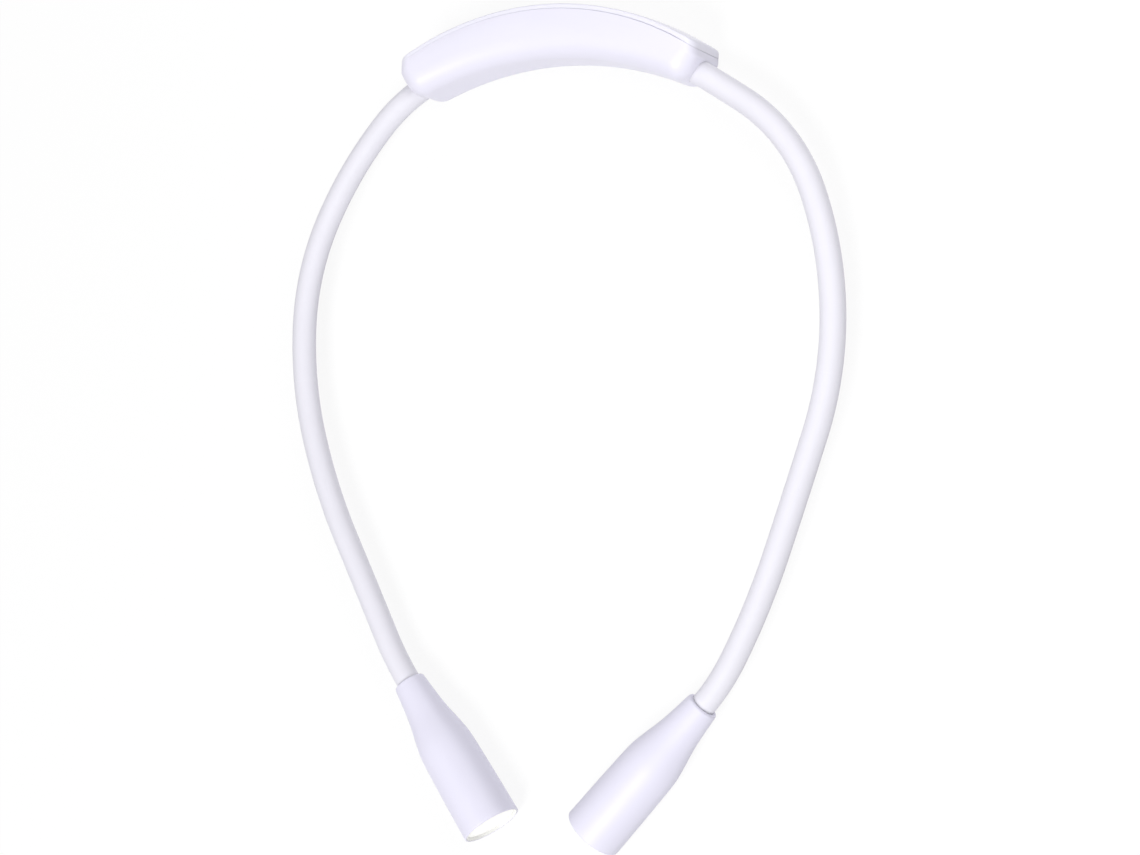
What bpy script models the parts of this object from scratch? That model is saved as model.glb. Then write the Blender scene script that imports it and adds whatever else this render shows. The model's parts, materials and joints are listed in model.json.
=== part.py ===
"""Neck-worn reading light: a curved battery housing, two gooseneck arms and a lamp head on each.

Metres, +Z up. The light lies on a table at Z = 0, with +Y from the lamps to the housing. The origin is
on the housing's flat underside, at mid depth, and X = 0 is the housing's middle plane. Each arm is a
silicone sleeve over a bendable core, divided into segments that are hinged to each other.
"""

import math

import bmesh
import bpy
from mathutils import Matrix, Vector

UP = Vector((0.0, 0.0, 1.0))
CLEARANCE = 0.0003
OVERRUN = 0.003

# Housing
HOUSING_DEPTH = 0.0165
HOUSING_HEIGHT = 0.0233
HOUSING_HALF_SPAN = 0.0540
OUTER_ARC_RADIUS = 0.104
HOUSING_WALL = 0.0018
END_FACE_WIDTH = 0.0021
FACET_MARGIN = 0.0004
INNER_FACET_MARGIN = 0.0012
EDGE_ROUNDING = 0.0060
END_EDGE_ROUNDING = 0.0050
FACET_EDGE_ROUNDING = 0.0060
ROOM_ROUNDING = 0.0020
END_CORNER_ROUNDING = 0.0030
INNER_CORNER_ROUNDING = 0.0020
CORNER_STEPS = 3
EDGE_STEPS = 4
ROOM_STEPS = 2
OUTER_ARC_STEPS = 8
INNER_ARC_STEPS = 7

# Cover over the side away from the neck
COVER_THICKNESS = 0.0016
COVER_CROWN = 0.0008
COVER_EDGE_ROUNDING = 0.0012
COVER_CORNER_ROUNDING = 0.0028
COVER_EDGE_STEPS = 3
COVER_CROWN_STEPS = 5
LIP_THICKNESS = 0.0010
LIP_DEPTH = 0.0022
LIP_SPAN_SHARE = 0.70

# Arms
ARM_LENGTH = 0.2215
ARM_EXIT_SHARE = 0.959
SLEEVE_RADIUS = 0.0040
SLEEVE_BORE_RADIUS = 0.0026
SLEEVE_GAP = 0.0021
SLEEVE_SIDES = 12
CORE_RADIUS = 0.0023
CORE_SIDES = 8
BALL_RADIUS = 0.0018
BALL_NECK_RADIUS = 0.0011
BALL_NECK_LENGTH = 0.0005
BALL_STEPS = 3
CUP_LIP = 0.0003
MOST_ANGLE_A_RING = 7.0
STATION_SHARES = (0.0, 0.08, 0.25, 0.42, 0.59, 0.76, 0.92, 1.0)
FIRST_HEADING_ANGLES = {"left": 47.6, "right": 32.2}
BEND_ANGLES = {
    "left": (17.1, 25.5, 17.7, 11.6, -0.7, 9.9),
    "right": (36.1, 18.5, 19.8, 0.9, 8.4, 14.1),
}
SIDES = {"left": -1, "right": 1}

# Blocks at the housing's ends that the cores pass through, and the anchors that grip the cores
SOCKET_DEPTH = 0.0080
ANCHOR_RADIUS = 0.0034
ANCHOR_LENGTH = 0.0070
ANCHOR_COLLAR_LENGTH = 0.0022
ANCHOR_BARREL_RADIUS = 0.0031
ANCHOR_GRIP = 0.0057

# Lamp heads, measured along the axis from the neck
HEAD_LENGTH = 0.0555
NECK_WALL = 0.0013
NECK_ROUNDING = 0.0007
NECK_INSERTION = 0.0060
FLARE_SHARES = (0.144, 0.252, 0.324, 0.432, 0.505, 0.613)
FLARE_RADII = (0.00610, 0.00698, 0.00783, 0.00894, 0.00922, 0.00938)
RIM_RADIUS = 0.00975
RIM_ROUNDING = 0.0006
ROOM_START_RADIUS = 0.0044
ROOM_FULL_SHARE = 0.52
ROOM_RADIUS = 0.0072
LED_DEPTH = 0.0135
LED_SEAT_RADIUS = 0.0080
HEAD_SIDES = 20

# Lens, reflector and lamp board
LENS_RADIUS = 0.0084
LENS_THICKNESS = 0.0020
LENS_RECESS = 0.0012
LENS_DOME = 0.0004
LED_BOARD_THICKNESS = 0.0012
LED_SIZE = 0.0035
LED_THICKNESS = 0.0009
LED_EDGE = 0.0003
REFLECTOR_THROAT = 0.0028
REFLECTOR_WAIST = 0.0056
REFLECTOR_WAIST_SHARE = 0.45
REFLECTOR_MOUTH = 0.0071
LEAD_RADIUS = 0.0007
LEAD_SWAY = 0.0030

# Battery and circuit board
BATTERY_SPAN_SHARE = 0.407
BATTERY_ROUNDING = 0.0015
BOARD_SPAN_SHARE = 0.518
BOARD_THICKNESS = 0.0010
FRONT_ROOM_DEPTH = 0.0115
BATTERY_LEAD_REACH = 0.0040
ARM_LEAD_SLACK = 0.0050

# Charge port
PORT_WIDTH = 0.0090
PORT_HEIGHT = 0.0033
PORT_WALL = 0.00035
PORT_RECESS = 0.0004
TONGUE_WIDTH = 0.0067
TONGUE_THICKNESS = 0.0008
TONGUE_SETBACK = 0.0008

# Buttons, switches and the indicator
BUTTON_PLACE_SHARE = 0.352
BUTTON_WIDTH = 0.0100
BUTTON_HEIGHT = 0.0050
BUTTON_PROUD = 0.0005
BUTTON_EDGE = 0.0003
FLANGE_MARGIN = 0.0010
FLANGE_THICKNESS = 0.0007
STEM_RADIUS = 0.0012
SWITCH_SIZE = 0.0060
SWITCH_HEIGHT = 0.0022
SWITCH_FLOOR = 0.0004
PLUNGER_RADIUS = 0.0013
PLUNGER_PROUD = 0.0006
PLUNGER_LENGTH = 0.0017
INDICATOR_PLACE_SHARE = 0.167
INDICATOR_RADIUS = 0.0010
INDICATOR_FLANGE_RADIUS = 0.0016
INDICATOR_FLANGE_THICKNESS = 0.0006
PILL_STEPS = 4
SMALL_SIDES = 10

# Places and sizes that follow from those above
MIDDLE_HEIGHT = HOUSING_HEIGHT / 2
ROOM_HEIGHT = HOUSING_HEIGHT - 2 * HOUSING_WALL
OUTER_APEX = HOUSING_DEPTH / 2
INNER_APEX = -HOUSING_DEPTH / 2
OUTER_CENTRE = OUTER_APEX - OUTER_ARC_RADIUS
FACET_WIDTH = FACET_MARGIN + 2 * SLEEVE_RADIUS + INNER_FACET_MARGIN
ARM_EXIT_ANGLE = ARM_EXIT_SHARE * math.asin(HOUSING_HALF_SPAN / OUTER_ARC_RADIUS)
LIP_HALF_SPAN = HOUSING_HALF_SPAN * LIP_SPAN_SHARE
BUTTON_PLACE = HOUSING_HALF_SPAN * BUTTON_PLACE_SHARE
INDICATOR_PLACE = HOUSING_HALF_SPAN * INDICATOR_PLACE_SHARE
BATTERY_LENGTH = 2 * HOUSING_HALF_SPAN * BATTERY_SPAN_SHARE
BATTERY_THICKNESS = HOUSING_DEPTH - FRONT_ROOM_DEPTH
BOARD_LENGTH = 2 * HOUSING_HALF_SPAN * BOARD_SPAN_SHARE
COVER_INNER_RADIUS = OUTER_ARC_RADIUS - COVER_THICKNESS
COVER_END_ROUNDING = COVER_THICKNESS
COVER_FACE_RADIUS = OUTER_ARC_RADIUS + COVER_CROWN
BATTERY_BACK = INNER_APEX + HOUSING_WALL + CLEARANCE
BOARD_BACK = BATTERY_BACK + BATTERY_THICKNESS + CLEARANCE
BOARD_FRONT = BOARD_BACK + BOARD_THICKNESS
SWITCH_BACK = BOARD_FRONT + CLEARANCE
SWITCH_FRONT = SWITCH_BACK + SWITCH_HEIGHT
NECK_RADIUS = SLEEVE_RADIUS + NECK_WALL
BARREL_START = HEAD_LENGTH * FLARE_SHARES[-1]
BARREL_START_RADIUS = FLARE_RADII[-1]
ROOM_FULL = HEAD_LENGTH * ROOM_FULL_SHARE
LED_LEDGE = HEAD_LENGTH - LED_DEPTH
HEAD_TILT = math.atan2(RIM_RADIUS - BARREL_START_RADIUS, HEAD_LENGTH - RIM_ROUNDING - BARREL_START)
NECK_REST_HEIGHT = BARREL_START_RADIUS * math.cos(HEAD_TILT) - BARREL_START * math.sin(HEAD_TILT)
ARM_SLOPE = math.atan2(NECK_REST_HEIGHT - MIDDLE_HEIGHT, ARM_LENGTH)
HEAD_ANCHOR_START = NECK_INSERTION + 2 * CLEARANCE
HEAD_ANCHOR_END = HEAD_ANCHOR_START + ANCHOR_LENGTH
LED_BOARD_BACK = LED_LEDGE + CLEARANCE
LED_BOARD_FRONT = LED_BOARD_BACK + LED_BOARD_THICKNESS
LENS_FRONT = HEAD_LENGTH - LENS_RECESS
LENS_BACK = LENS_FRONT - LENS_THICKNESS
SEGMENTS = len(STATION_SHARES) - 1


def clear_scene():
    for old in list(bpy.data.objects):
        bpy.data.objects.remove(old, do_unlink=True)


# Materials

def make_material(name, colour, roughness, metallic=0.0, glow=0.0):
    material = bpy.data.materials.new(name)
    material.use_nodes = True
    shader = material.node_tree.nodes["Principled BSDF"]
    shader.inputs["Base Color"].default_value = (*colour, 1.0)
    shader.inputs["Roughness"].default_value = roughness
    shader.inputs["Metallic"].default_value = metallic
    shader.inputs["Emission Color"].default_value = (1.0, 1.0, 0.98, 1.0)
    shader.inputs["Emission Strength"].default_value = glow
    return material


def make_materials():
    return {
        "housing": make_material("lavender_white_plastic", (0.86, 0.84, 0.96), 0.35),
        "shell": make_material("soft_touch_plastic", (0.80, 0.78, 0.93), 0.45),
        "sleeve": make_material("white_silicone", (0.84, 0.83, 0.88), 0.6),
        "core": make_material("bendable_wire", (0.55, 0.55, 0.57), 0.35, metallic=1.0),
        "anchor": make_material("crimped_brass", (0.72, 0.58, 0.32), 0.35, metallic=1.0),
        "lens": make_material("frosted_lens", (1.0, 1.0, 0.99), 0.25, glow=1.0),
        "reflector": make_material("white_reflector", (0.95, 0.95, 0.95), 0.3),
        "board": make_material("green_circuit_board", (0.02, 0.18, 0.09), 0.5),
        "led": make_material("led_phosphor", (0.95, 0.80, 0.25), 0.4),
        "lead": make_material("lead_insulation", (0.45, 0.05, 0.04), 0.5),
        "battery": make_material("battery_foil", (0.70, 0.71, 0.74), 0.4, metallic=0.6),
        "steel": make_material("plated_steel", (0.68, 0.68, 0.70), 0.3, metallic=1.0),
        "black": make_material("black_plastic", (0.03, 0.03, 0.035), 0.5),
        "button": make_material("button_rubber", (0.78, 0.76, 0.88), 0.55),
        "window": make_material("indicator_plastic", (0.90, 0.92, 0.95), 0.2),
    }


# Objects and pivots

def add_object(name, mesh, material, parent=None, place=None):
    item = bpy.data.objects.new(name, mesh)
    bpy.context.scene.collection.objects.link(item)
    if not mesh.materials:
        mesh.materials.append(material)
    item.parent = parent
    item.matrix_local = place or Matrix()
    return item


def add_in_world(name, mesh, material, parent):
    """Adds a mesh made in world space under the pivot that carries it."""
    if parent:
        mesh.transform(parent.matrix_world.inverted())
    return add_object(name, mesh, material, parent)


def add_pivot(name, world_place, parent=None):
    """An empty on a joint's axis, which carries the pieces of one moving body."""
    pivot = bpy.data.objects.new(name, None)
    bpy.context.scene.collection.objects.link(pivot)
    pivot.empty_display_size = SLEEVE_RADIUS
    pivot.parent = parent
    pivot.matrix_local = (parent.matrix_world.inverted() if parent else Matrix()) @ world_place
    bpy.context.view_layer.update()
    return pivot


def add_boolean(item, helper_mesh, operation="DIFFERENCE"):
    """Cuts or joins the item with a helper that stands in the same place and isn't rendered."""
    helper = bpy.data.objects.new(f"{item.name}_{operation.lower()}", helper_mesh)
    bpy.context.scene.collection.objects.link(helper)
    helper.hide_render = True
    helper.display_type = "WIRE"
    modifier = item.modifiers.new(helper.name, "BOOLEAN")
    modifier.operation = operation
    modifier.solver = "EXACT"
    modifier.object = helper


# Mesh builders

def finish_mesh(name, mesh_edit):
    bmesh.ops.remove_doubles(mesh_edit, verts=mesh_edit.verts, dist=CLEARANCE / 1000)
    bmesh.ops.recalc_face_normals(mesh_edit, faces=mesh_edit.faces)
    mesh = bpy.data.meshes.new(name)
    mesh_edit.to_mesh(mesh)
    mesh_edit.free()
    mesh.shade_smooth()
    mesh.set_sharp_from_angle(angle=math.radians(40))
    return mesh


def ring_mesh(name, rings, closed=False):
    """Skins rings of points in order. A ring of one point is a pole, and a closed list has no end caps."""
    mesh_edit = bmesh.new()
    rows = [[mesh_edit.verts.new(point) for point in ring] for ring in rings]
    count = max(len(row) for row in rows)
    pairs = list(zip(rows, rows[1:]))
    if closed:
        pairs.append((rows[-1], rows[0]))
    for near, far in pairs:
        for k in range(count):
            corners = [near[k % len(near)], near[(k + 1) % len(near)]]
            corners += [far[(k + 1) % len(far)], far[k % len(far)]]
            mesh_edit.faces.new(list(dict.fromkeys(corners)))
    if not closed:
        for row in (rows[0], rows[-1]):
            if len(row) > 1:
                mesh_edit.faces.new(row)
    return finish_mesh(name, mesh_edit)


def circle(radius, place, sides):
    """A ring round a frame's own Z axis, or one point where the radius is zero."""
    if radius == 0:
        return [place.translation]
    turns = [2 * math.pi * k / sides for k in range(sides)]
    return [place @ Vector((radius * math.cos(turn), radius * math.sin(turn), 0)) for turn in turns]


def lathe_mesh(name, profile, sides, closed=False):
    """Turns points of (distance along Z, radius) round the Z axis."""
    rings = [circle(radius, Matrix.Translation(UP * along), sides) for along, radius in profile]
    return ring_mesh(name, rings, closed)


def box_mesh(name, size, rounding=0.0):
    mesh_edit = bmesh.new()
    bmesh.ops.create_cube(mesh_edit, size=1.0)
    bmesh.ops.scale(mesh_edit, vec=size, verts=mesh_edit.verts)
    if rounding:
        edges = mesh_edit.edges[:]
        bmesh.ops.bevel(mesh_edit, geom=edges, offset=rounding, segments=2, profile=0.5, affect="EDGES")
    return finish_mesh(name, mesh_edit)


def lead_mesh(name, start, start_aim, end, end_aim):
    """An insulated lead that leaves one terminal along its aim and meets the other along its own."""
    curve = bpy.data.curves.new(name, "CURVE")
    curve.dimensions = "3D"
    curve.bevel_depth = LEAD_RADIUS
    curve.bevel_resolution = 1
    curve.resolution_u = 8
    curve.use_fill_caps = True
    spline = curve.splines.new("BEZIER")
    spline.bezier_points.add(1)
    for knot, point, aim in zip(spline.bezier_points, (start, end), (start_aim, end_aim)):
        knot.co = point
        knot.handle_left = point - aim
        knot.handle_right = point + aim
    holder = bpy.data.objects.new(name, curve)
    bpy.context.scene.collection.objects.link(holder)
    graph = bpy.context.evaluated_depsgraph_get()
    tube = bpy.data.meshes.new_from_object(holder.evaluated_get(graph))
    bpy.data.objects.remove(holder, do_unlink=True)
    mesh_edit = bmesh.new()
    mesh_edit.from_mesh(tube)
    return finish_mesh(name, mesh_edit)


# Plan outlines: their sides run clockwise from the middle of the outer arc to the middle of the inner arc

def arc_side(centre, radius, outward=1):
    """An arc centred on X = 0. Outward is -1 where the solid lies outside the circle."""
    return ("arc", centre, radius, outward)


def line_side(point, normal):
    return ("line", Vector(point), Vector(normal).normalized())


def shifted(side, inset):
    if side[0] == "arc":
        return arc_side(side[1], side[2] - side[3] * inset, side[3])
    return line_side(side[1] - side[2] * inset, side[2])


def outward_at(side, point):
    if side[0] == "arc":
        return (point - Vector((0, side[1]))).normalized() * side[3]
    return side[2]


def meet(first, second):
    """Where two neighbouring sides cross: two lines, or a line and an arc, nearest to the line's own point."""
    if first[0] == "arc":
        first, second = second, first
    point, normal = first[1], first[2]
    along = Vector((-normal.y, normal.x))
    if second[0] == "line":
        reach = (second[1] - point).dot(second[2]) / along.dot(second[2])
        return point + along * reach
    offset = point - Vector((0, second[1]))
    half = offset.dot(along)
    root = math.sqrt(half * half - offset.length_squared + second[2] ** 2)
    reach = min((-half - root, -half + root), key=abs)
    return point + along * reach


def corner(first, second, insets, rounding):
    """A ring's points round the corner of two sides, which may have insets of their own."""
    centre = meet(shifted(first, insets[0] + rounding), shifted(second, insets[1] + rounding))
    if not rounding:
        return [centre]
    start, end = outward_at(first, centre), outward_at(second, centre)
    from_angle, to_angle = math.atan2(start.y, start.x), math.atan2(end.y, end.x)
    points = []
    for k in range(CORNER_STEPS + 1):
        angle = from_angle + (to_angle - from_angle) * k / CORNER_STEPS
        points.append(centre + Vector((math.cos(angle), math.sin(angle))) * rounding)
    return points


def half_arc(side, end, steps):
    """Points from an arc's middle towards its end, which they leave out."""
    _, centre, radius, _ = side
    spread = math.atan2(end.x, end.y - centre)
    turns = [spread * k / steps for k in range(steps)]
    return [Vector((radius * math.sin(turn), centre + radius * math.cos(turn))) for turn in turns]


def plan_outline(sides, insets, roundings, height):
    """A closed ring of points at a height, the same on both sides of X = 0."""
    half = []
    for k, rounding in enumerate(roundings):
        half += corner(sides[k], sides[k + 1], insets[k : k + 2], rounding)
    half = half_arc(shifted(sides[0], insets[0]), half[0], OUTER_ARC_STEPS) + half
    inner = half_arc(shifted(sides[-1], insets[-1]), half[-1], INNER_ARC_STEPS)
    half += reversed(inner)
    mirrored = [Vector((-point.x, point.y)) for point in reversed(half[1:-1])]
    return [Vector((point.x, point.y, height)) for point in half + mirrored]


def edge_heights(rounding, steps):
    """Heights from an edge at which its rounding has a ring."""
    return [rounding * (1 - math.cos(math.pi / 2 * k / steps)) for k in range(steps + 1)]


def edge_inset(rounding, height):
    """How far a rounded edge lies inside its side, this high above the edge."""
    reach = min(max(rounding - height, 0), rounding)
    return rounding - math.sqrt(rounding * rounding - reach * reach)


def arc_height(radius, x):
    """Y of a point at X on an arc about the outer arc's centre."""
    return OUTER_CENTRE + math.sqrt(radius * radius - x * x)


# The housing's ends, and the arms' centre lines

def heading_vector(heading):
    """Plan direction at an angle turned clockwise from +X."""
    return Vector((math.cos(heading), -math.sin(heading)))


def facet_point(distance):
    """Plan point on the facet that an arm leaves from, this far from the housing's end face."""
    heading = heading_vector(ARM_EXIT_ANGLE)
    y = arc_height(COVER_INNER_RADIUS, HOUSING_HALF_SPAN) - END_FACE_WIDTH
    return Vector((HOUSING_HALF_SPAN, y)) + Vector((heading.y, -heading.x)) * distance


def arm_exit():
    return facet_point(FACET_MARGIN + SLEEVE_RADIUS)


def facet_side():
    return line_side(arm_exit(), heading_vector(ARM_EXIT_ANGLE))


def inner_side():
    """The arc on the side of the neck, through its middle and the facets' inner ends."""
    end = facet_point(FACET_WIDTH)
    drop = INNER_APEX - end.y
    radius = (end.x * end.x + drop * drop) / (2 * drop)
    return arc_side(INNER_APEX - radius, radius, -1)


def station(index):
    return STATION_SHARES[index] * ARM_LENGTH


def arm_line(side, along):
    """Plan point, heading, height and slope of an arm's centre line, this far from the housing's end face."""
    heading = ARM_EXIT_ANGLE
    point = arm_exit() + heading_vector(heading) * min(along, 0)
    first = math.radians(FIRST_HEADING_ANGLES[side]) - ARM_EXIT_ANGLE
    bends = [first] + [math.radians(angle) for angle in BEND_ANGLES[side]]
    for index, bend in enumerate(bends):
        length = station(index + 1) - station(index)
        run = min(max(along - station(index), 0), length)
        turn = bend * run / length
        chord = run * math.sin(turn / 2) / (turn / 2) if turn else 0
        point += heading_vector(heading + turn / 2) * chord
        heading += turn
    beyond = max(along - ARM_LENGTH, 0)
    point += heading_vector(heading) * beyond * math.cos(HEAD_TILT)
    fall = min(max(along, 0), ARM_LENGTH) * math.tan(ARM_SLOPE)
    height = MIDDLE_HEIGHT + fall + beyond * math.sin(HEAD_TILT)
    slope = 0 if along < 0 else ARM_SLOPE if along < ARM_LENGTH else HEAD_TILT
    return point, heading, height, slope


def arm_frame(side, along, level=False):
    """World frame on an arm's centre line, its Z axis along the arm and its Y axis up."""
    point, heading, height, slope = arm_line(side, along)
    flat = heading_vector(heading)
    if level:
        slope = 0
    sign = SIDES[side]
    forward = Vector((sign * flat.x * math.cos(slope), flat.y * math.cos(slope), math.sin(slope)))
    across = forward.cross(UP).normalized() * -1
    over = forward.cross(across)
    frame = Matrix((across, over, forward)).transposed().to_4x4()
    frame.translation = (sign * point.x, point.y, height)
    return frame


def hinge_frame(side, index):
    """Level frame of a hinge station: Z is the swing axis, and the lift axis is its Y."""
    frame = arm_frame(side, station(index), level=True)
    forward = frame.col[2].to_3d()
    turned = Matrix((forward, UP.cross(forward), UP)).transposed().to_4x4()
    turned.translation = frame.translation
    return turned


def segment_places(side, start, end):
    """Distances along an arm from start to end, close enough for its bends."""
    turn = abs(arm_line(side, end)[1] - arm_line(side, start)[1])
    count = max(1, math.ceil(math.degrees(turn) / MOST_ANGLE_A_RING))
    return [start + (end - start) * k / count for k in range(count + 1)]


def swept_mesh(name, side, profile, sides, closed=False):
    """Skins points of (distance along an arm, radius) round its centre line."""
    rings = [circle(radius, arm_frame(side, along), sides) for along, radius in profile]
    return ring_mesh(name, rings, closed)


# Housing pieces

def end_side():
    return line_side(facet_point(0), (1, 0))


def make_housing_body(materials):
    outer = arc_side(OUTER_CENTRE, COVER_INNER_RADIUS - CLEARANCE)
    sides = [outer, end_side(), facet_side(), inner_side()]
    edge_roundings = (END_EDGE_ROUNDING, FACET_EDGE_ROUNDING, EDGE_ROUNDING)
    heights = edge_heights(max(edge_roundings), EDGE_STEPS)
    heights += [HOUSING_HEIGHT - height for height in reversed(heights)]
    rings = []
    for height in heights:
        edge = min(height, HOUSING_HEIGHT - height)
        insets = (0, *(edge_inset(rounding, edge) for rounding in edge_roundings))
        rings.append(plan_outline(sides, insets, (0, END_CORNER_ROUNDING, INNER_CORNER_ROUNDING), height))
    body = add_object("housing_body", ring_mesh("housing_body", rings), materials["housing"])
    room_sides = [outer, facet_side(), inner_side()]
    heights = [HOUSING_WALL + height for height in edge_heights(ROOM_ROUNDING, ROOM_STEPS)]
    heights += [HOUSING_HEIGHT - height for height in reversed(heights)]
    room = []
    for height in heights:
        edge = min(height, HOUSING_HEIGHT - height) - HOUSING_WALL
        insets = (-OVERRUN, SOCKET_DEPTH, HOUSING_WALL + edge_inset(ROOM_ROUNDING, edge))
        room.append(plan_outline(room_sides, insets, (0, 0), height))
    add_boolean(body, ring_mesh("housing_room", room))
    bore = CORE_RADIUS + CLEARANCE
    deep = -SOCKET_DEPTH - OVERRUN
    profile = [(OVERRUN, 0), (OVERRUN, bore), (deep, bore), (deep, 0)]
    for side in SIDES:
        mesh = lathe_mesh(f"{side}_core_bore", profile, CORE_SIDES)
        mesh.transform(arm_frame(side, 0))
        add_boolean(body, mesh)


def arc_band(name, outer_radius, inner_radius, half_span, low, high):
    """A curved strip between two radii about the outer arc's centre."""
    sides = [
        arc_side(OUTER_CENTRE, outer_radius),
        line_side((half_span, arc_height(outer_radius, half_span)), (1, 0)),
        arc_side(OUTER_CENTRE, inner_radius, -1),
    ]
    rings = [plan_outline(sides, (0, 0, 0), (0, 0), height) for height in (low, high)]
    return ring_mesh(name, rings)


def pill(width, height, middle_x, depth_at):
    """A ring of a round-ended slot, seen along Y, whose depth follows a function of X."""
    radius = height / 2
    points = []
    for sign in (1, -1):
        for k in range(PILL_STEPS + 1):
            angle = math.pi * k / PILL_STEPS - math.pi / 2
            x = middle_x + sign * ((width - height) / 2 + radius * math.cos(angle))
            points.append(Vector((x, depth_at(x), MIDDLE_HEIGHT + sign * radius * math.sin(angle))))
    return points


def level_pill(width, height, middle_x, depth):
    return pill(width, height, middle_x, lambda x: depth)


def curved_pill(width, height, middle_x, radius):
    return pill(width, height, middle_x, lambda x: arc_height(radius, x))


def make_housing_cover(materials):
    edges = edge_heights(COVER_CORNER_ROUNDING, COVER_EDGE_STEPS)
    flat = HOUSING_HEIGHT - 2 * COVER_CORNER_ROUNDING
    heights = edges + [COVER_CORNER_ROUNDING + flat * k / COVER_CROWN_STEPS for k in range(1, COVER_CROWN_STEPS)]
    heights += [HOUSING_HEIGHT - height for height in reversed(edges)]
    rings = []
    for height in heights:
        edge = min(height, HOUSING_HEIGHT - height)
        insets = (edge_inset(COVER_EDGE_ROUNDING, edge), edge_inset(COVER_CORNER_ROUNDING, edge), 0)
        crown = COVER_CROWN * (1 - ((height - MIDDLE_HEIGHT) / MIDDLE_HEIGHT) ** 2)
        sides = [arc_side(OUTER_CENTRE, OUTER_ARC_RADIUS + crown), end_side()]
        sides.append(arc_side(OUTER_CENTRE, COVER_INNER_RADIUS, -1))
        rings.append(plan_outline(sides, insets, (COVER_END_ROUNDING - insets[0], 0), height))
    cover = add_object("housing_cover", ring_mesh("housing_cover", rings), materials["housing"])
    lip_low = HOUSING_WALL + CLEARANCE
    lip_top = HOUSING_HEIGHT - lip_low
    root = COVER_INNER_RADIUS + COVER_THICKNESS / 2
    tip = COVER_INNER_RADIUS - LIP_DEPTH
    lower = arc_band("lower_lip", root, tip, LIP_HALF_SPAN, lip_low, lip_low + LIP_THICKNESS)
    upper = arc_band("upper_lip", root, tip, LIP_HALF_SPAN, lip_top - LIP_THICKNESS, lip_top)
    add_boolean(cover, lower, "UNION")
    add_boolean(cover, upper, "UNION")
    margin = 2 * CLEARANCE
    holes = [(PORT_WIDTH, PORT_HEIGHT, 0)]
    holes += [(BUTTON_WIDTH, BUTTON_HEIGHT, sign * BUTTON_PLACE) for sign in SIDES.values()]
    holes.append((2 * INDICATOR_RADIUS, 2 * INDICATOR_RADIUS, INDICATOR_PLACE))
    for width, height, place in holes:
        shallow = level_pill(width + margin, height + margin, place, BOARD_FRONT)
        deep = level_pill(width + margin, height + margin, place, OUTER_APEX + COVER_CROWN + OVERRUN)
        add_boolean(cover, ring_mesh("cover_hole", [shallow, deep]))


def make_battery_and_board(materials):
    height = ROOM_HEIGHT - 2 * CLEARANCE
    battery = box_mesh("battery", (BATTERY_LENGTH, BATTERY_THICKNESS, height), BATTERY_ROUNDING)
    middle = Vector((0, BATTERY_BACK + BATTERY_THICKNESS / 2, MIDDLE_HEIGHT))
    add_object("battery", battery, materials["battery"], place=Matrix.Translation(middle))
    board_height = height - 2 * (LIP_THICKNESS + CLEARANCE)
    board = box_mesh("circuit_board", (BOARD_LENGTH, BOARD_THICKNESS, board_height))
    place = Matrix.Translation((0, BOARD_BACK + BOARD_THICKNESS / 2, MIDDLE_HEIGHT))
    add_object("circuit_board", board, materials["board"], place=place)
    start = middle + Vector((BATTERY_LENGTH / 2 + CLEARANCE, 0, 0))
    across = Vector((BATTERY_LEAD_REACH, 0, 0))
    end = Vector((start.x + BATTERY_LEAD_REACH, BOARD_BACK - CLEARANCE, MIDDLE_HEIGHT))
    rise = Vector((0, end.y - start.y, 0))
    mesh = lead_mesh("battery_lead", start, across / 2, end, rise / 2)
    add_object("battery_lead", mesh, materials["lead"])


def make_charge_port(materials):
    back = BOARD_FRONT + CLEARANCE
    mouth = OUTER_APEX + COVER_CROWN - PORT_RECESS
    inner_width, inner_height = PORT_WIDTH - 2 * PORT_WALL, PORT_HEIGHT - 2 * PORT_WALL
    floor = back + PORT_WALL
    rings = [level_pill(PORT_WIDTH, PORT_HEIGHT, 0, depth) for depth in (back, mouth)]
    rings += [level_pill(inner_width, inner_height, 0, depth) for depth in (mouth, floor)]
    add_object("charge_port_shell", ring_mesh("charge_port_shell", rings), materials["steel"])
    length = mouth - TONGUE_SETBACK - floor - CLEARANCE
    tongue = box_mesh("charge_port_tongue", (TONGUE_WIDTH, length, TONGUE_THICKNESS))
    place = Matrix.Translation((0, floor + CLEARANCE + length / 2, MIDDLE_HEIGHT))
    add_object("charge_port_tongue", tongue, materials["black"], place=place)


def make_indicator(materials):
    face = arc_height(COVER_FACE_RADIUS, INDICATOR_PLACE)
    inner_face = arc_height(COVER_INNER_RADIUS, INDICATOR_PLACE + INDICATOR_FLANGE_RADIUS) - CLEARANCE
    back = inner_face - INDICATOR_FLANGE_THICKNESS
    foot = BOARD_FRONT + CLEARANCE
    profile = [(foot, 0), (foot, INDICATOR_RADIUS), (back, INDICATOR_RADIUS)]
    profile += [(back, INDICATOR_FLANGE_RADIUS), (inner_face, INDICATOR_FLANGE_RADIUS)]
    profile += [(inner_face, INDICATOR_RADIUS), (face, INDICATOR_RADIUS), (face, 0)]
    place = Matrix.Translation((INDICATOR_PLACE, 0, MIDDLE_HEIGHT)) @ Matrix.Rotation(-math.pi / 2, 4, "X")
    mesh = lathe_mesh("indicator_window", profile, SMALL_SIDES)
    add_object("indicator_window", mesh, materials["window"], place=place)


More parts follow.
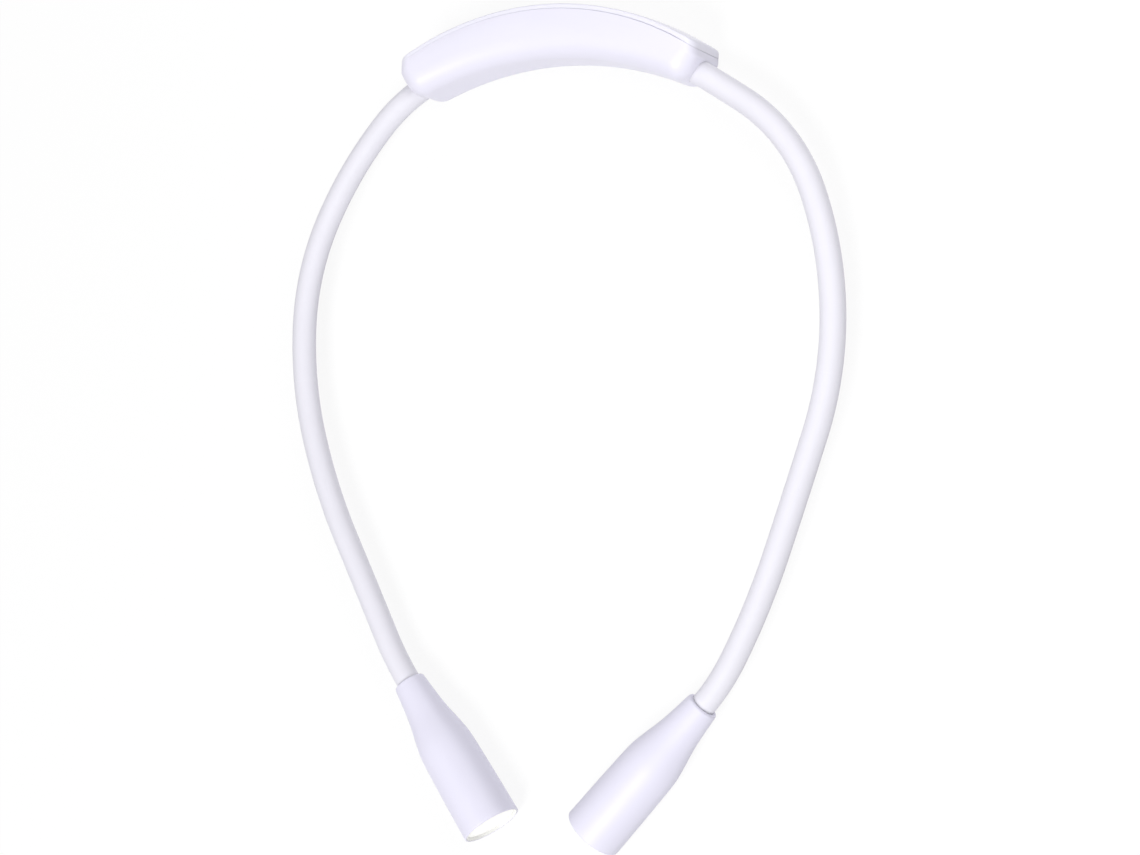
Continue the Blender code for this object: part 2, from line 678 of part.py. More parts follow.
def make_button(materials, side):
    """A push button that slides along -Y, the plunger that moves with it, and the switch on the board."""
    x = SIDES[side] * BUTTON_PLACE
    tip = SWITCH_FRONT + PLUNGER_PROUD
    pivot = add_pivot(f"{side}_button_slide", Matrix.Translation((x, tip, MIDDLE_HEIGHT)))
    top = COVER_FACE_RADIUS + BUTTON_PROUD
    flange_top = COVER_INNER_RADIUS - CLEARANCE
    flange_back = flange_top - FLANGE_THICKNESS
    wide, tall = BUTTON_WIDTH + 2 * FLANGE_MARGIN, BUTTON_HEIGHT + 2 * FLANGE_MARGIN
    stem = 2 * STEM_RADIUS
    rings = [
        curved_pill(BUTTON_WIDTH - 2 * BUTTON_EDGE, BUTTON_HEIGHT - 2 * BUTTON_EDGE, x, top),
        curved_pill(BUTTON_WIDTH, BUTTON_HEIGHT, x, top - BUTTON_EDGE),
        curved_pill(BUTTON_WIDTH, BUTTON_HEIGHT, x, flange_top),
        curved_pill(wide, tall, x, flange_top),
        curved_pill(wide, tall, x, flange_back),
        curved_pill(stem, stem, x, flange_back),
        level_pill(stem, stem, x, tip + CLEARANCE),
    ]
    add_in_world(f"{side}_button", ring_mesh(f"{side}_button", rings), materials["button"], pivot)
    heel = tip - PLUNGER_LENGTH
    plunger = [level_pill(2 * PLUNGER_RADIUS, 2 * PLUNGER_RADIUS, x, depth) for depth in (heel, tip)]
    mesh = ring_mesh(f"{side}_switch_plunger", plunger)
    add_in_world(f"{side}_switch_plunger", mesh, materials["black"], pivot)
    case = box_mesh(f"{side}_switch_body", (SWITCH_SIZE, SWITCH_HEIGHT, SWITCH_SIZE))
    case.transform(Matrix.Translation((x, SWITCH_BACK + SWITCH_HEIGHT / 2, MIDDLE_HEIGHT)))
    switch = add_object(f"{side}_switch_body", case, materials["steel"])
    well = 2 * (PLUNGER_RADIUS + CLEARANCE)
    depths = (SWITCH_BACK + SWITCH_FLOOR, SWITCH_FRONT + OVERRUN)
    add_boolean(switch, ring_mesh("switch_well", [level_pill(well, well, x, depth) for depth in depths]))


# Arm pieces

def sleeve_profile(side, index):
    """Closed outline of one sleeve segment, out along its skin and back along its bore."""
    start = station(index) + SLEEVE_GAP / 2 if index else CLEARANCE
    last = index == SEGMENTS - 1
    end = ARM_LENGTH if last else station(index + 1) - SLEEVE_GAP / 2
    places = segment_places(side, start, end)
    if last:
        places.append(ARM_LENGTH + NECK_INSERTION)
    skin = [(along, SLEEVE_RADIUS) for along in places]
    bore = [(along, SLEEVE_BORE_RADIUS) for along in reversed(places)]
    return skin + bore


def cup_points(middle):
    """The hollow end of a core segment, which seats the ball before it."""
    radius = BALL_RADIUS + CLEARANCE
    widest = math.acos(CUP_LIP / radius)
    turns = [widest * k / BALL_STEPS for k in range(BALL_STEPS + 1)]
    points = [(middle + radius * math.cos(turn), radius * math.sin(turn)) for turn in turns]
    return points + [(middle + CUP_LIP, CORE_RADIUS)]


def ball_points(middle):
    """The ball end of a core segment, on its neck."""
    reach = math.sqrt(BALL_RADIUS**2 - BALL_NECK_RADIUS**2)
    shoulder = middle - reach - BALL_NECK_LENGTH
    narrow = math.pi - math.asin(BALL_NECK_RADIUS / BALL_RADIUS)
    turns = [narrow * (1 - k / BALL_STEPS) for k in range(BALL_STEPS)]
    points = [(middle + BALL_RADIUS * math.cos(turn), BALL_RADIUS * math.sin(turn)) for turn in turns]
    neck = [(shoulder, CORE_RADIUS), (shoulder, BALL_NECK_RADIUS)]
    return neck + points + [(middle + BALL_RADIUS, 0)]


def core_profile(side, index):
    """Outline of one core segment, from the axis at its start to the axis at its end."""
    last = index == SEGMENTS - 1
    start_points = cup_points(station(index)) if index else [(-SOCKET_DEPTH - ANCHOR_GRIP, 0)]
    if last:
        tail = ARM_LENGTH + HEAD_ANCHOR_START + ANCHOR_GRIP
        end_points = [(tail, CORE_RADIUS), (tail, 0)]
    else:
        end_points = ball_points(station(index + 1))
    places = segment_places(side, start_points[-1][0], end_points[0][0])[1:-1]
    if not index:
        start_points.append((start_points[0][0], CORE_RADIUS))
    if not index or last:
        places = segment_places(side, max(start_points[-1][0], 0), min(end_points[0][0], ARM_LENGTH))
    return start_points + [(along, CORE_RADIUS) for along in places] + end_points


def anchor_profile(start):
    """A crimped tube that grips a core's end: a collar, then a slimmer barrel."""
    bore = CORE_RADIUS + CLEARANCE
    waist = start + ANCHOR_COLLAR_LENGTH
    end = start + ANCHOR_LENGTH
    outside = [(start, ANCHOR_RADIUS), (waist, ANCHOR_RADIUS)]
    outside += [(waist, ANCHOR_BARREL_RADIUS), (end, ANCHOR_BARREL_RADIUS)]
    return outside + [(end, bore), (start, bore)]


def make_arm(materials, side):
    """Makes the sleeve and core segments on their hinges, and gives the last hinge."""
    pivot = None
    for index in range(SEGMENTS):
        if index:
            kind = "swing" if index % 2 else "lift"
            name = f"{side}_{kind}_{(index + 1) // 2}"
            pivot = add_pivot(name, hinge_frame(side, index), pivot)
        sleeve = swept_mesh("sleeve", side, sleeve_profile(side, index), SLEEVE_SIDES, closed=True)
        add_in_world(f"{side}_sleeve_{index + 1}", sleeve, materials["sleeve"], pivot)
        core = swept_mesh("core", side, core_profile(side, index), CORE_SIDES)
        add_in_world(f"{side}_core_{index + 1}", core, materials["core"], pivot)
    return pivot


def make_rear_anchor(materials, side):
    """The anchor behind the housing's socket, and the lead from it to the circuit board."""
    inward = arm_frame(side, -SOCKET_DEPTH) @ Matrix.Rotation(math.pi, 4, "Y")
    mesh = lathe_mesh("rear_anchor", anchor_profile(CLEARANCE), SLEEVE_SIDES, closed=True)
    add_object(f"{side}_rear_anchor", mesh, materials["anchor"], place=inward)
    start = inward @ (UP * (ANCHOR_GRIP + CLEARANCE))
    start_aim = (inward.to_3x3() @ UP) * ARM_LEAD_SLACK
    across = Vector((SIDES[side], 0, 0))
    end = across * (BOARD_LENGTH / 2 + CLEARANCE) + Vector((0, BOARD_BACK + BOARD_THICKNESS / 2, MIDDLE_HEIGHT))
    lead = lead_mesh("arm_lead", start, start_aim, end, across * -ARM_LEAD_SLACK)
    add_object(f"{side}_arm_lead", lead, materials["lead"])


# Lamp head pieces, along Z from the neck

def shell_profile():
    bore = SLEEVE_RADIUS + CLEARANCE
    seat = ANCHOR_RADIUS + CLEARANCE
    shoulder = NECK_INSERTION + CLEARANCE
    room_start = HEAD_ANCHOR_END + CLEARANCE
    lens_seat = LENS_RADIUS + CLEARANCE
    lens_ledge = LENS_BACK - CLEARANCE
    half_turn = math.radians(45)
    edge = NECK_ROUNDING * (1 - math.sin(half_turn))
    rim_edge = RIM_ROUNDING * (1 - math.sin(half_turn))
    outside = [
        (0, NECK_RADIUS - NECK_ROUNDING),
        (edge, NECK_RADIUS - edge),
        (NECK_ROUNDING, NECK_RADIUS),
        *((HEAD_LENGTH * share, radius) for share, radius in zip(FLARE_SHARES, FLARE_RADII)),
        (HEAD_LENGTH - RIM_ROUNDING, RIM_RADIUS),
        (HEAD_LENGTH - rim_edge, RIM_RADIUS - rim_edge),
        (HEAD_LENGTH, RIM_RADIUS - RIM_ROUNDING),
    ]
    inside = [
        (HEAD_LENGTH, lens_seat),
        (lens_ledge, lens_seat),
        (lens_ledge, LED_SEAT_RADIUS),
        (LED_LEDGE, LED_SEAT_RADIUS),
        (LED_LEDGE, ROOM_RADIUS),
        (ROOM_FULL, ROOM_RADIUS),
        (room_start, ROOM_START_RADIUS),
        (room_start, seat),
        (shoulder, seat),
        (shoulder, bore),
        (0, bore),
    ]
    return outside + inside


def lens_profile():
    edge = LENS_FRONT - LENS_DOME
    face = [(edge, LENS_RADIUS), (LENS_FRONT, LENS_RADIUS / 2), (LENS_FRONT, 0)]
    return [(LENS_BACK, 0), (LENS_BACK, LENS_RADIUS)] + face


def reflector_profile():
    back = LED_BOARD_FRONT + CLEARANCE
    front = LENS_BACK - CLEARANCE
    outside = LED_SEAT_RADIUS - CLEARANCE
    waist = back + (front - back) * REFLECTOR_WAIST_SHARE
    inside = [(front, REFLECTOR_MOUTH), (waist, REFLECTOR_WAIST), (back, REFLECTOR_THROAT)]
    return [(back, outside), (front, outside)] + inside


def make_head_meshes():
    """One mesh for each kind of piece, used by both heads, with its material's name."""
    edge = LED_SEAT_RADIUS - CLEARANCE
    board = [(LED_BOARD_BACK, 0), (LED_BOARD_BACK, edge), (LED_BOARD_FRONT, edge), (LED_BOARD_FRONT, 0)]
    led = box_mesh("led", (LED_SIZE, LED_SIZE, LED_THICKNESS), LED_EDGE)
    led.transform(Matrix.Translation(UP * (LED_BOARD_FRONT + CLEARANCE + LED_THICKNESS / 2)))
    start = UP * (HEAD_ANCHOR_START + ANCHOR_GRIP + CLEARANCE)
    end = UP * (LED_BOARD_BACK - CLEARANCE) + Vector((0, LEAD_SWAY, 0))
    aim = (end - start).project(UP) / 2
    grip = anchor_profile(HEAD_ANCHOR_START)
    return {
        "lamp_shell": (lathe_mesh("lamp_shell", shell_profile(), HEAD_SIDES, closed=True), "shell"),
        "lens": (lathe_mesh("lens", lens_profile(), HEAD_SIDES), "lens"),
        "reflector": (lathe_mesh("reflector", reflector_profile(), HEAD_SIDES, closed=True), "reflector"),
        "led_board": (lathe_mesh("led_board", board, HEAD_SIDES), "board"),
        "led": (led, "led"),
        "front_anchor": (lathe_mesh("front_anchor", grip, SLEEVE_SIDES, closed=True), "anchor"),
        "lamp_lead": (lead_mesh("lamp_lead", start, aim, end, aim), "lead"),
    }


def make_head(materials, meshes, side, hinge):
    frame = arm_frame(side, ARM_LENGTH)
    axis = add_pivot(f"{side}_head_axis", frame, hinge)
    for name, (mesh, material) in meshes.items():
        add_object(f"{side}_{name}", mesh, materials[material], parent=axis)


def main():
    clear_scene()
    materials = make_materials()
    make_housing_body(materials)
    make_housing_cover(materials)
    make_battery_and_board(materials)
    make_charge_port(materials)
    make_indicator(materials)
    head_meshes = make_head_meshes()
    for side in SIDES:
        make_button(materials, side)
        make_rear_anchor(materials, side)
        hinge = make_arm(materials, side)
        make_head(materials, head_meshes, side, hinge)


main()
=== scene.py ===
"""Neck-worn reading light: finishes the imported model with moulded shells, silicone arms and lit lenses.

The light lies on a table at Z = 0, with +Y from the lamps to the housing. Each of the outer pieces takes the
place of its plain solids, and the pieces inside keep theirs and get a material.
"""

import json
import math
from typing import NamedTuple

import bmesh
import bpy
from bpy.props import FloatProperty, FloatVectorProperty, PointerProperty
from mathutils import Matrix, Vector


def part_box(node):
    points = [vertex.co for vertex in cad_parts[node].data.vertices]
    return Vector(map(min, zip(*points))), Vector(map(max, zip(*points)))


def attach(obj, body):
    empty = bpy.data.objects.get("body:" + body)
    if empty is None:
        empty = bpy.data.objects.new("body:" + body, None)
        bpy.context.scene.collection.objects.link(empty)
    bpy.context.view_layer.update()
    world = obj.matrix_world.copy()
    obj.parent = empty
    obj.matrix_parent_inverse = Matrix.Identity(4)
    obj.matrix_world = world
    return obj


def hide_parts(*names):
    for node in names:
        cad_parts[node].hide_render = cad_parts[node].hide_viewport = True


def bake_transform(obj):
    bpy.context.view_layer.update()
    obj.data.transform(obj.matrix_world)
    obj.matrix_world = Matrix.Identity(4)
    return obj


bl_info = {
    "name": "Neck Reading Light",
    "version": (1, 0, 0),
    "blender": (4, 5, 0),
    "location": "View3D > Sidebar > Reading Light",
    "description": "Builds the outer pieces, materials and stage of a neck-worn reading light",
    "category": "Add Mesh",
}

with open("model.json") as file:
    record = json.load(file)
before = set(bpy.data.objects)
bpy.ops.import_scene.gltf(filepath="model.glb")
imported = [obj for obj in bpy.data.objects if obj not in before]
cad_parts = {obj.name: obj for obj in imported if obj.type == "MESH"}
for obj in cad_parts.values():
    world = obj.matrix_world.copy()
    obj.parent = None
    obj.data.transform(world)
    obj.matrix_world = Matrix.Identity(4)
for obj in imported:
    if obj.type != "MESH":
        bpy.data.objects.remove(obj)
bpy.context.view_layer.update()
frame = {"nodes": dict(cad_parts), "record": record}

UP = Vector((0.0, 0.0, 1.0))
SIDES = {"left": -1, "right": 1}
CLEARANCE = 0.0003  # between pieces that don't touch
OVERRUN = 0.003  # how far a cutting mesh reaches beyond what it cuts
SMOOTH_ANGLE = math.radians(35)  # edges sharper than this stay sharp
CORNER_STEPS, ARC_STEPS, PILL_STEPS = 12, 30, 10  # round a plan's corners, half an arc, half a slot's end
CROWN_STEPS, CAP_STEPS, LENS_STEPS = 12, 5, 10  # over the cover's flat, a button's edge, a lens's dome
# Ends and hinges of an arm, as shares of its length
STATION_SHARES = (0.0, 0.08, 0.25, 0.42, 0.59, 0.76, 0.92, 1.0)
SEGMENTS = len(STATION_SHARES) - 1
BUTTON_MIDDLE = (0.0005, 0.0002)  # the innermost ring of a button's cap
HOUSING_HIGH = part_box("housing_body")[1]
HOUSING_HEIGHT = HOUSING_HIGH.z
MIDDLE_HEIGHT = HOUSING_HEIGHT / 2

PALE = (0.8, 0.8, 0.8, 1.0)  # until a shader group's colour is connected
WAVES_PER_METRE, CLOUDS_PER_METRE = 260.0, 70.0  # of the moulding's surface, and of its slow shifts
BUMP_STRENGTH = 0.4
CREVICE_REACH = 0.0012  # how near another surface the painted shade in crevices reaches, which also stands for a little dustiness
LINT_SHARE = 0.12  # of the cells, that hold a speck
LINE_STRETCH = 0.02  # of the grain's scale along a rod, which draws it out into lines
SHEEN, SHEEN_ROUGHNESS = 0.08, 0.4
GROOVE_EDGE = 0.004  # softness of the dark groove's edges, as a share of the ring's radius
GROOVE_LEVEL, RING_LEVEL = 0.1, 0.55  # light in the groove and the ring, against the lens's middle
FLOOR_LIGHT = 0.97  # what the lights throw on the open floor, against white

# Lamp shell: (distance from the neck's end, radius) along the moulded flare
FLARE = (
    (0.0007, 0.00530), (0.002, 0.00545), (0.004, 0.00567), (0.006, 0.00587), (0.008, 0.00610),
    (0.010, 0.00635), (0.012, 0.00664), (0.014, 0.00698), (0.016, 0.00738), (0.018, 0.00783),
    (0.020, 0.00823), (0.022, 0.00862), (0.024, 0.00894), (0.026, 0.00912), (0.028, 0.00922),
    (0.034, 0.00938), (0.042, 0.00955), (0.050, 0.00967), (0.0551, 0.00975),
)


# Sizes and colours that a user would change

def metres(name, description, default):
    return FloatProperty(name=name, description=description, default=default, unit="LENGTH")


def metre_list(name, description, default):
    return FloatVectorProperty(
        name=name, description=description, size=len(default), default=default, unit="LENGTH")


def number(name, description, default, subtype="NONE"):
    return FloatProperty(name=name, description=description, default=default, subtype=subtype)


def headings(name, description, degrees):
    return FloatVectorProperty(
        name=name, description=description, size=SEGMENTS, default=[math.radians(angle) for angle in degrees],
        unit="ROTATION")


def colour(name, description, default):
    return FloatVectorProperty(name=name, description=description, default=default, subtype="COLOR")


def position(name, description, default):
    return FloatVectorProperty(
        name=name, description=description, default=default, subtype="XYZ", unit="LENGTH")


def direction(name, description, default):
    return FloatVectorProperty(name=name, description=description, default=default, subtype="DIRECTION")


class HousingSizes(bpy.types.PropertyGroup):
    outer_radius: metres("Outer arc", "Radius of the cover's face in plan", 0.104)
    half_span: metres("Half span", "From the middle of the housing to its end face", HOUSING_HIGH.x)
    depth: metres("Depth", "From the cover to the inner arc, at the middle", 0.0165)
    end_width: metres("End face", "Width of the flat end beside the cover", 0.0021)
    facet_margin: metres("Facet margin", "From an arm to the end face", 0.0004)
    inner_margin: metres("Inner margin", "From an arm to the inner corner", 0.0012)
    wall: metres("Wall", "Thickness of the shell", 0.0018)
    socket_depth: metres("Socket depth", "Length of the blocks that hold the arms", 0.008)
    edge_roundings: metre_list(
        "Edge roundings", "Of the end, the facet beside the cover and at its inner end, and the inner side",
        (0.005, 0.005, 0.007, 0.0065))
    room_rounding: metres("Room rounding", "Rounding of the room's inner edges", 0.002)
    end_rounding: metres("End rounding", "Rounding of the outer corner in plan", 0.002)
    inner_rounding: metres("Inner rounding", "Rounding of the inner corner in plan, at mid height", 0.006)
    inner_rounding_top: metres("Inner rounding, top", "The same, at the upper and lower face", 0.0015)
    arm_insert: metres("Arm insert", "How deep the silicone sits in the housing", 0.0042)
    core_bore: metres("Core bore", "Radius of the hole for an arm's core", 0.0026)
    seam_rounding: metres("Seam rounding", "Softened edges on both sides of the cover's seam", 0.00008)
    seam_gap: metres("Seam gap", "From the housing to its cover", 0.00005)
    cover_thickness: metres("Cover", "Thickness of the cover at its edges", 0.0016)
    cover_step: metres("Cover step", "From the housing's upper face down to the cover's edge", 0.0003)
    cover_crown: metres("Cover crown", "Rise of the cover's face at mid height", 0.0008)
    cover_rounding: metres("Cover rounding", "Rounding of the cover's long edges", 0.0006)
    cover_corner: metres("Cover corner", "Rounding of the cover's corners, seen from its face", 0.0045)
    cover_end: metres("Cover end", "Rounding of the cover's ends, seen from above", 0.0013)
    lip_thickness: metres("Lip thickness", "Of the cover's two locating lips", 0.001)
    lip_depth: metres("Lip depth", "How far the lips reach into the room", 0.0022)
    lip_half_span: metres("Lip half span", "From the middle to a lip's end", 0.038)


class ArmSizes(bpy.types.PropertyGroup):
    length: metres("Length", "From the housing to the lamp's neck", 0.2215)
    radius: metres("Radius", "Outside of the sleeve", 0.004)
    wall: metres("Wall", "Thickness of the silicone sleeve", 0.0009)
    bend_reach: metres("Bend reach", "How far each side of a hinge the sleeve bends", 0.015)
    end_bend_reach: metres("End bend reach", "The same, at the first and the last hinge", 0.012)
    exit_share: number(
        "Exit share", "An arm's direction at the housing, as a share of the outer arc's end angle",
        0.959, subtype="FACTOR")
    left_headings: headings(
        "Left headings", "Direction at the end of each stretch of the left arm",
        (47.6, 64.7, 90.2, 107.9, 119.5, 118.8, 128.7))
    right_headings: headings(
        "Right headings", "Direction at the end of each stretch of the right arm",
        (32.2, 68.3, 86.8, 106.6, 107.5, 115.9, 130.0))
    head_insert: metres("Head insert", "How deep the silicone sits in a lamp's neck", 0.006)
    point_step: metres("Point step", "Between two points of a sleeve's centre line", 0.0008)
    end_step: metres("End step", "The same, beside the ends of a stretch", 0.0002)


class HeadSizes(bpy.types.PropertyGroup):
    length: metres("Length", "From the neck's end to the rim", 0.0555)
    neck_rounding: metres("Neck rounding", "Rounding of the neck's end", 0.0007)
    rim_rounding: metres("Rim rounding", "Rounding of the rim's outer edge", 0.0004)
    neck_fit: metres("Neck fit", "From the silicone to the neck round it", 0.00004)
    inside: metre_list(
        "Inside", "Radii inside: for the leads, the core's end, the reflector and its step",
        (0.0037, 0.0044, 0.0072, 0.0080))
    inside_places: metre_list(
        "Inside places", "Where they begin, from the neck's end", (0.0063, 0.0139, 0.0290, 0.0420))
    ring_radius: metres("Ring radius", "Outside of the frosted ring round the lens", 0.0092)
    ring_slope: metres("Ring slope", "Width of the ring's slope down to the lens", 0.0006)
    ring_depth: metres("Ring depth", "Thickness of the ring below the lens's face", 0.0006)
    groove: metres("Groove", "Width and depth of the groove between ring and lens", 0.0002)
    soft_edge: metres("Soft edge", "Softening of the ring's edge", 0.0001)
    lens_radius: metres("Lens radius", "Outside of the lens behind its ring", 0.0084)
    lens_thickness: metres("Lens thickness", "Depth of the lens at its edge", 0.002)
    lens_recess: metres("Lens recess", "From the rim down to the lens", 0.0010)
    lens_dome: metres("Lens dome", "Rise of the lens's middle", 0.0004)


class ButtonSizes(bpy.types.PropertyGroup):
    place: metres("Place", "From the middle of the housing to a button", 0.019)
    width: metres("Width", "Length of a button's cap", 0.010)
    height: metres("Height", "Height of a button's cap", 0.005)
    proud: metres("Proud", "How far a cap stands out of the cover", 0.0005)
    port_width: metres("Port width", "Outside of the port", 0.009)
    port_height: metres("Port height", "Outside of the port", 0.0033)
    indicator_place: metres("Indicator place", "From the middle to the indicator", 0.009)
    indicator_radius: metres("Indicator radius", "Radius of the indicator's window", 0.001)
    soft_edge: metres("Soft edge", "Rounding of a cap's edge", 0.0005)
    dish: metres("Dish", "Depth of the hollow in a cap", 0.00015)
    dish_margin: metres("Dish margin", "How much shorter than the cap the hollow's floor is", 0.003)
    dish_slope: metres("Dish slope", "How much shorter than the cap's flat the hollow is", 0.0008)
    flange: metres("Flange", "How much longer than the cap its flange is", 0.002)
    flange_thickness: metres("Flange thickness", "Thickness of the flange behind the cover", 0.0007)
    stem: metres("Stem", "Width of the stem that meets the switch", 0.0024)
    port_wall: metres("Port wall", "Thickness of the port's steel", 0.00035)
    port_edge: metres("Port edge", "Softening of the port's edges", 0.0001)


class Finishes(bpy.types.PropertyGroup):
    housing: colour("Housing", "Moulded housing", (0.85, 0.835, 0.95))
    cover: colour("Cover", "Cover over the outer side", (0.85, 0.84, 0.94))
    shell: colour("Lamp shell", "Moulded lamp shells", (0.82, 0.805, 0.935))
    sleeve: colour("Sleeve", "Silicone sleeves", (0.82, 0.81, 0.88))
    button: colour("Buttons", "Rubber of the buttons", (0.80, 0.78, 0.88))
    glow: colour("Lens light", "Light through the lens", (1.0, 1.0, 0.97))
    glow_strength: number("Lens strength", "Strength of the light through the lens", 0.45)


class StageSettings(bpy.types.PropertyGroup):
    key_power: number("Key light", "Power of the high front light", 14.4)
    key_size: metres("Key size", "Width of the high front light", 0.7)
    key_place: position("Key place", "Where the high front light hangs", (0.0, -0.9, 1.2))
    side_power: number("Side light", "Power of the light at the right", 0.62)
    side_size: metres("Side size", "Width of the light at the right", 0.3)
    side_place: position("Side place", "Where the light at the right stands", (0.33, 0.05, 0.34))
    back_power: number("Back light", "Power of the light behind", 0.7)
    back_size: metres("Back size", "Width of the light behind", 0.3)
    back_place: position("Back place", "Where the light behind stands", (0.0, 0.4, 0.3))
    aim: position("Aim", "Where the lights point", (0.0, -0.13, 0.0))
    fill_strength: number("Fill light", "Strength of the light from all round", 0.26)
    floor_shade: number("Floor shade", "How much light the floor throws back at the object", 0.70)
    floor_half_width: metres("Floor", "From the middle of the floor to its edge", 3.0)
    floor_drop: metres("Floor drop", "From the object's underside to the floor", 0.0002)
    shadow_share: number("Shadow", "Part of the floor's white that a full shadow takes away", 0.12)
    camera_place: position("Camera", "Where the camera stands", (0.3626885, -0.1578806, 0.6451005))
    camera_right: direction(
        "Camera right", "Towards the right of the picture", (0.8744686, 0.0456040, -0.4829337))
    camera_above: direction("Camera up", "Towards its upper edge", (-0.0184178, 0.9979745, 0.0608900))
    camera_behind: direction(
        "Camera back", "From the object to the camera", (0.4847323, -0.0443518, 0.8735373))
    focal_length: number("Focal length", "Of the camera, in millimetres", 72.19)


def sizes(group):
    return getattr(bpy.context.scene, f"reading_light_{group}")


# Mesh builders

def finish_mesh(name, mesh_edit):
    bmesh.ops.remove_doubles(mesh_edit, verts=mesh_edit.verts, dist=CLEARANCE / 1000)
    bmesh.ops.recalc_face_normals(mesh_edit, faces=mesh_edit.faces)
    mesh = bpy.data.meshes.new(name)
    mesh_edit.to_mesh(mesh)
    mesh_edit.free()
    mesh.shade_smooth()
    mesh.set_sharp_from_angle(angle=SMOOTH_ANGLE)
    return mesh


def ring_mesh(name, rings, closed=False):
    """Skins rings of points in order. A ring of one point is a pole, and a closed list has no end caps."""
    mesh_edit = bmesh.new()
    rows = [[mesh_edit.verts.new(point) for point in ring] for ring in rings]
    count = max(len(row) for row in rows)
    pairs = list(zip(rows, rows[1:]))
    if closed:
        pairs.append((rows[-1], rows[0]))
    for near, far in pairs:
        for k in range(count):
            corners = [near[k % len(near)], near[(k + 1) % len(near)]]
            corners += [far[(k + 1) % len(far)], far[k % len(far)]]
            mesh_edit.faces.new(list(dict.fromkeys(corners)))
    if not closed:
        for row in (rows[0], rows[-1]):
            if len(row) > 1:
                mesh_edit.faces.new(row)
    return finish_mesh(name, mesh_edit)


def lathe_mesh(name, profile, sides, closed=False):
    """Turns points of (distance along Z, radius) round the Z axis."""
    turns = [2 * math.pi * k / sides for k in range(sides)]
    rings = []
    for along, radius in profile:
        ring = [Vector((radius * math.cos(turn), radius * math.sin(turn), along)) for turn in turns]
        rings.append(ring if radius else ring[:1])
    mesh = ring_mesh(name, rings, closed)
    place = mesh.attributes.new("axis_place", "FLOAT_VECTOR", "POINT")
    place.data.foreach_set("vector", [number for vertex in mesh.vertices for number in vertex.co])
    return mesh


def quarter_round(centre, radius, start, end, steps):
    """Profile points on an arc from one angle to another, in degrees."""
    points = []
    for k in range(steps + 1):
        angle = math.radians(start + (end - start) * k / steps)
        points.append((centre[0] + radius * math.cos(angle), centre[1] + radius * math.sin(angle)))
    return points


def eased(points, steps):
    """A smooth curve through profile points, with so many steps between each two."""
    slopes = []
    for k in range(len(points)):
        near, far = points[max(k - 1, 0)], points[min(k + 1, len(points) - 1)]
        slopes.append((far[1] - near[1]) / (far[0] - near[0]))
    curve = []
    for k in range(len(points) - 1):
        (x0, y0), (x1, y1) = points[k], points[k + 1]
        for step in range(steps):
            t = step / steps
            width = x1 - x0
            height = (2 * t**3 - 3 * t**2 + 1) * y0 + (3 * t**2 - 2 * t**3) * y1
            height += (t**3 - 2 * t**2 + t) * width * slopes[k] + (t**3 - t**2) * width * slopes[k + 1]
            curve.append((x0 + t * width, height))
    return curve + [points[-1]]


def new_piece(name, mesh, slot):
    mesh.materials.append(material_for(slot))
    piece = bpy.data.objects.new(name, mesh)
    bpy.context.scene.collection.objects.link(piece)
    return piece


def settle(piece):
    """Turns a piece with modifiers into its plain mesh, with its place in the mesh."""
    graph = bpy.context.evaluated_depsgraph_get()
    mesh = bpy.data.meshes.new_from_object(piece.evaluated_get(graph))
    piece.modifiers.clear()
    mesh.transform(piece.matrix_world)
    piece.matrix_world = Matrix()
    piece.data = mesh
    mesh.name = piece.name
    mesh.shade_smooth()
    mesh.set_sharp_from_angle(angle=SMOOTH_ANGLE)


def cut(piece, helper_meshes, operation="DIFFERENCE"):
    """Cuts or joins a piece with helper meshes, and clears the helpers away."""
    helpers = []
    for mesh in helper_meshes:
        helper = bpy.data.objects.new(f"{piece.name}_helper", mesh)
        bpy.context.scene.collection.objects.link(helper)
        modifier = piece.modifiers.new(helper.name, "BOOLEAN")
        modifier.operation, modifier.solver, modifier.object = operation, "EXACT", helper
        helpers.append(helper)
    settle(piece)
    for helper in helpers:
        bpy.data.objects.remove(helper, do_unlink=True)


# Plan outlines: their sides run clockwise from the middle of the outer arc to the middle of the inner arc

def arc_side(centre, radius, outward=1):
    """An arc centred on X = 0. Outward is -1 where the solid lies outside the circle."""
    return ("arc", centre, radius, outward)


def line_side(point, normal):
    return ("line", Vector(point), Vector(normal).normalized())


def shifted(side, inset):
    if side[0] == "arc":
        return arc_side(side[1], side[2] - side[3] * inset, side[3])
    return line_side(side[1] - side[2] * inset, side[2])


def outward_at(side, point):
    if side[0] == "arc":
        return (point - Vector((0, side[1]))).normalized() * side[3]
    return side[2]


def meet(first, second):
    """Where two neighbouring sides cross: two lines, or a line and an arc, nearest to the line's point."""
    if first[0] == "arc":
        first, second = second, first
    point, normal = first[1], first[2]
    along = Vector((-normal.y, normal.x))
    if second[0] == "line":
        reach = (second[1] - point).dot(second[2]) / along.dot(second[2])
        return point + along * reach
    offset = point - Vector((0, second[1]))
    half = offset.dot(along)
    root = math.sqrt(half * half - offset.length_squared + second[2] ** 2)
    reach = min((-half - root, -half + root), key=abs)
    return point + along * reach


def corner(first, second, insets, rounding):
    """A ring's points round the corner of two sides, which may have insets of their own."""
    centre = meet(shifted(first, insets[0] + rounding), shifted(second, insets[1] + rounding))
    if not rounding:
        return [centre]
    start, end = outward_at(first, centre), outward_at(second, centre)
    from_angle, to_angle = math.atan2(start.y, start.x), math.atan2(end.y, end.x)
    points = []
    for k in range(CORNER_STEPS + 1):
        angle = from_angle + (to_angle - from_angle) * k / CORNER_STEPS
        points.append(centre + Vector((math.cos(angle), math.sin(angle))) * rounding)
    return points


def half_arc(side, end):
    """Points from an arc's middle towards its end, which they leave out."""
    _, centre, radius, _ = side
    spread = math.atan2(end.x, end.y - centre)
    turns = [spread * k / ARC_STEPS for k in range(ARC_STEPS)]
    return [Vector((radius * math.sin(turn), centre + radius * math.cos(turn))) for turn in turns]


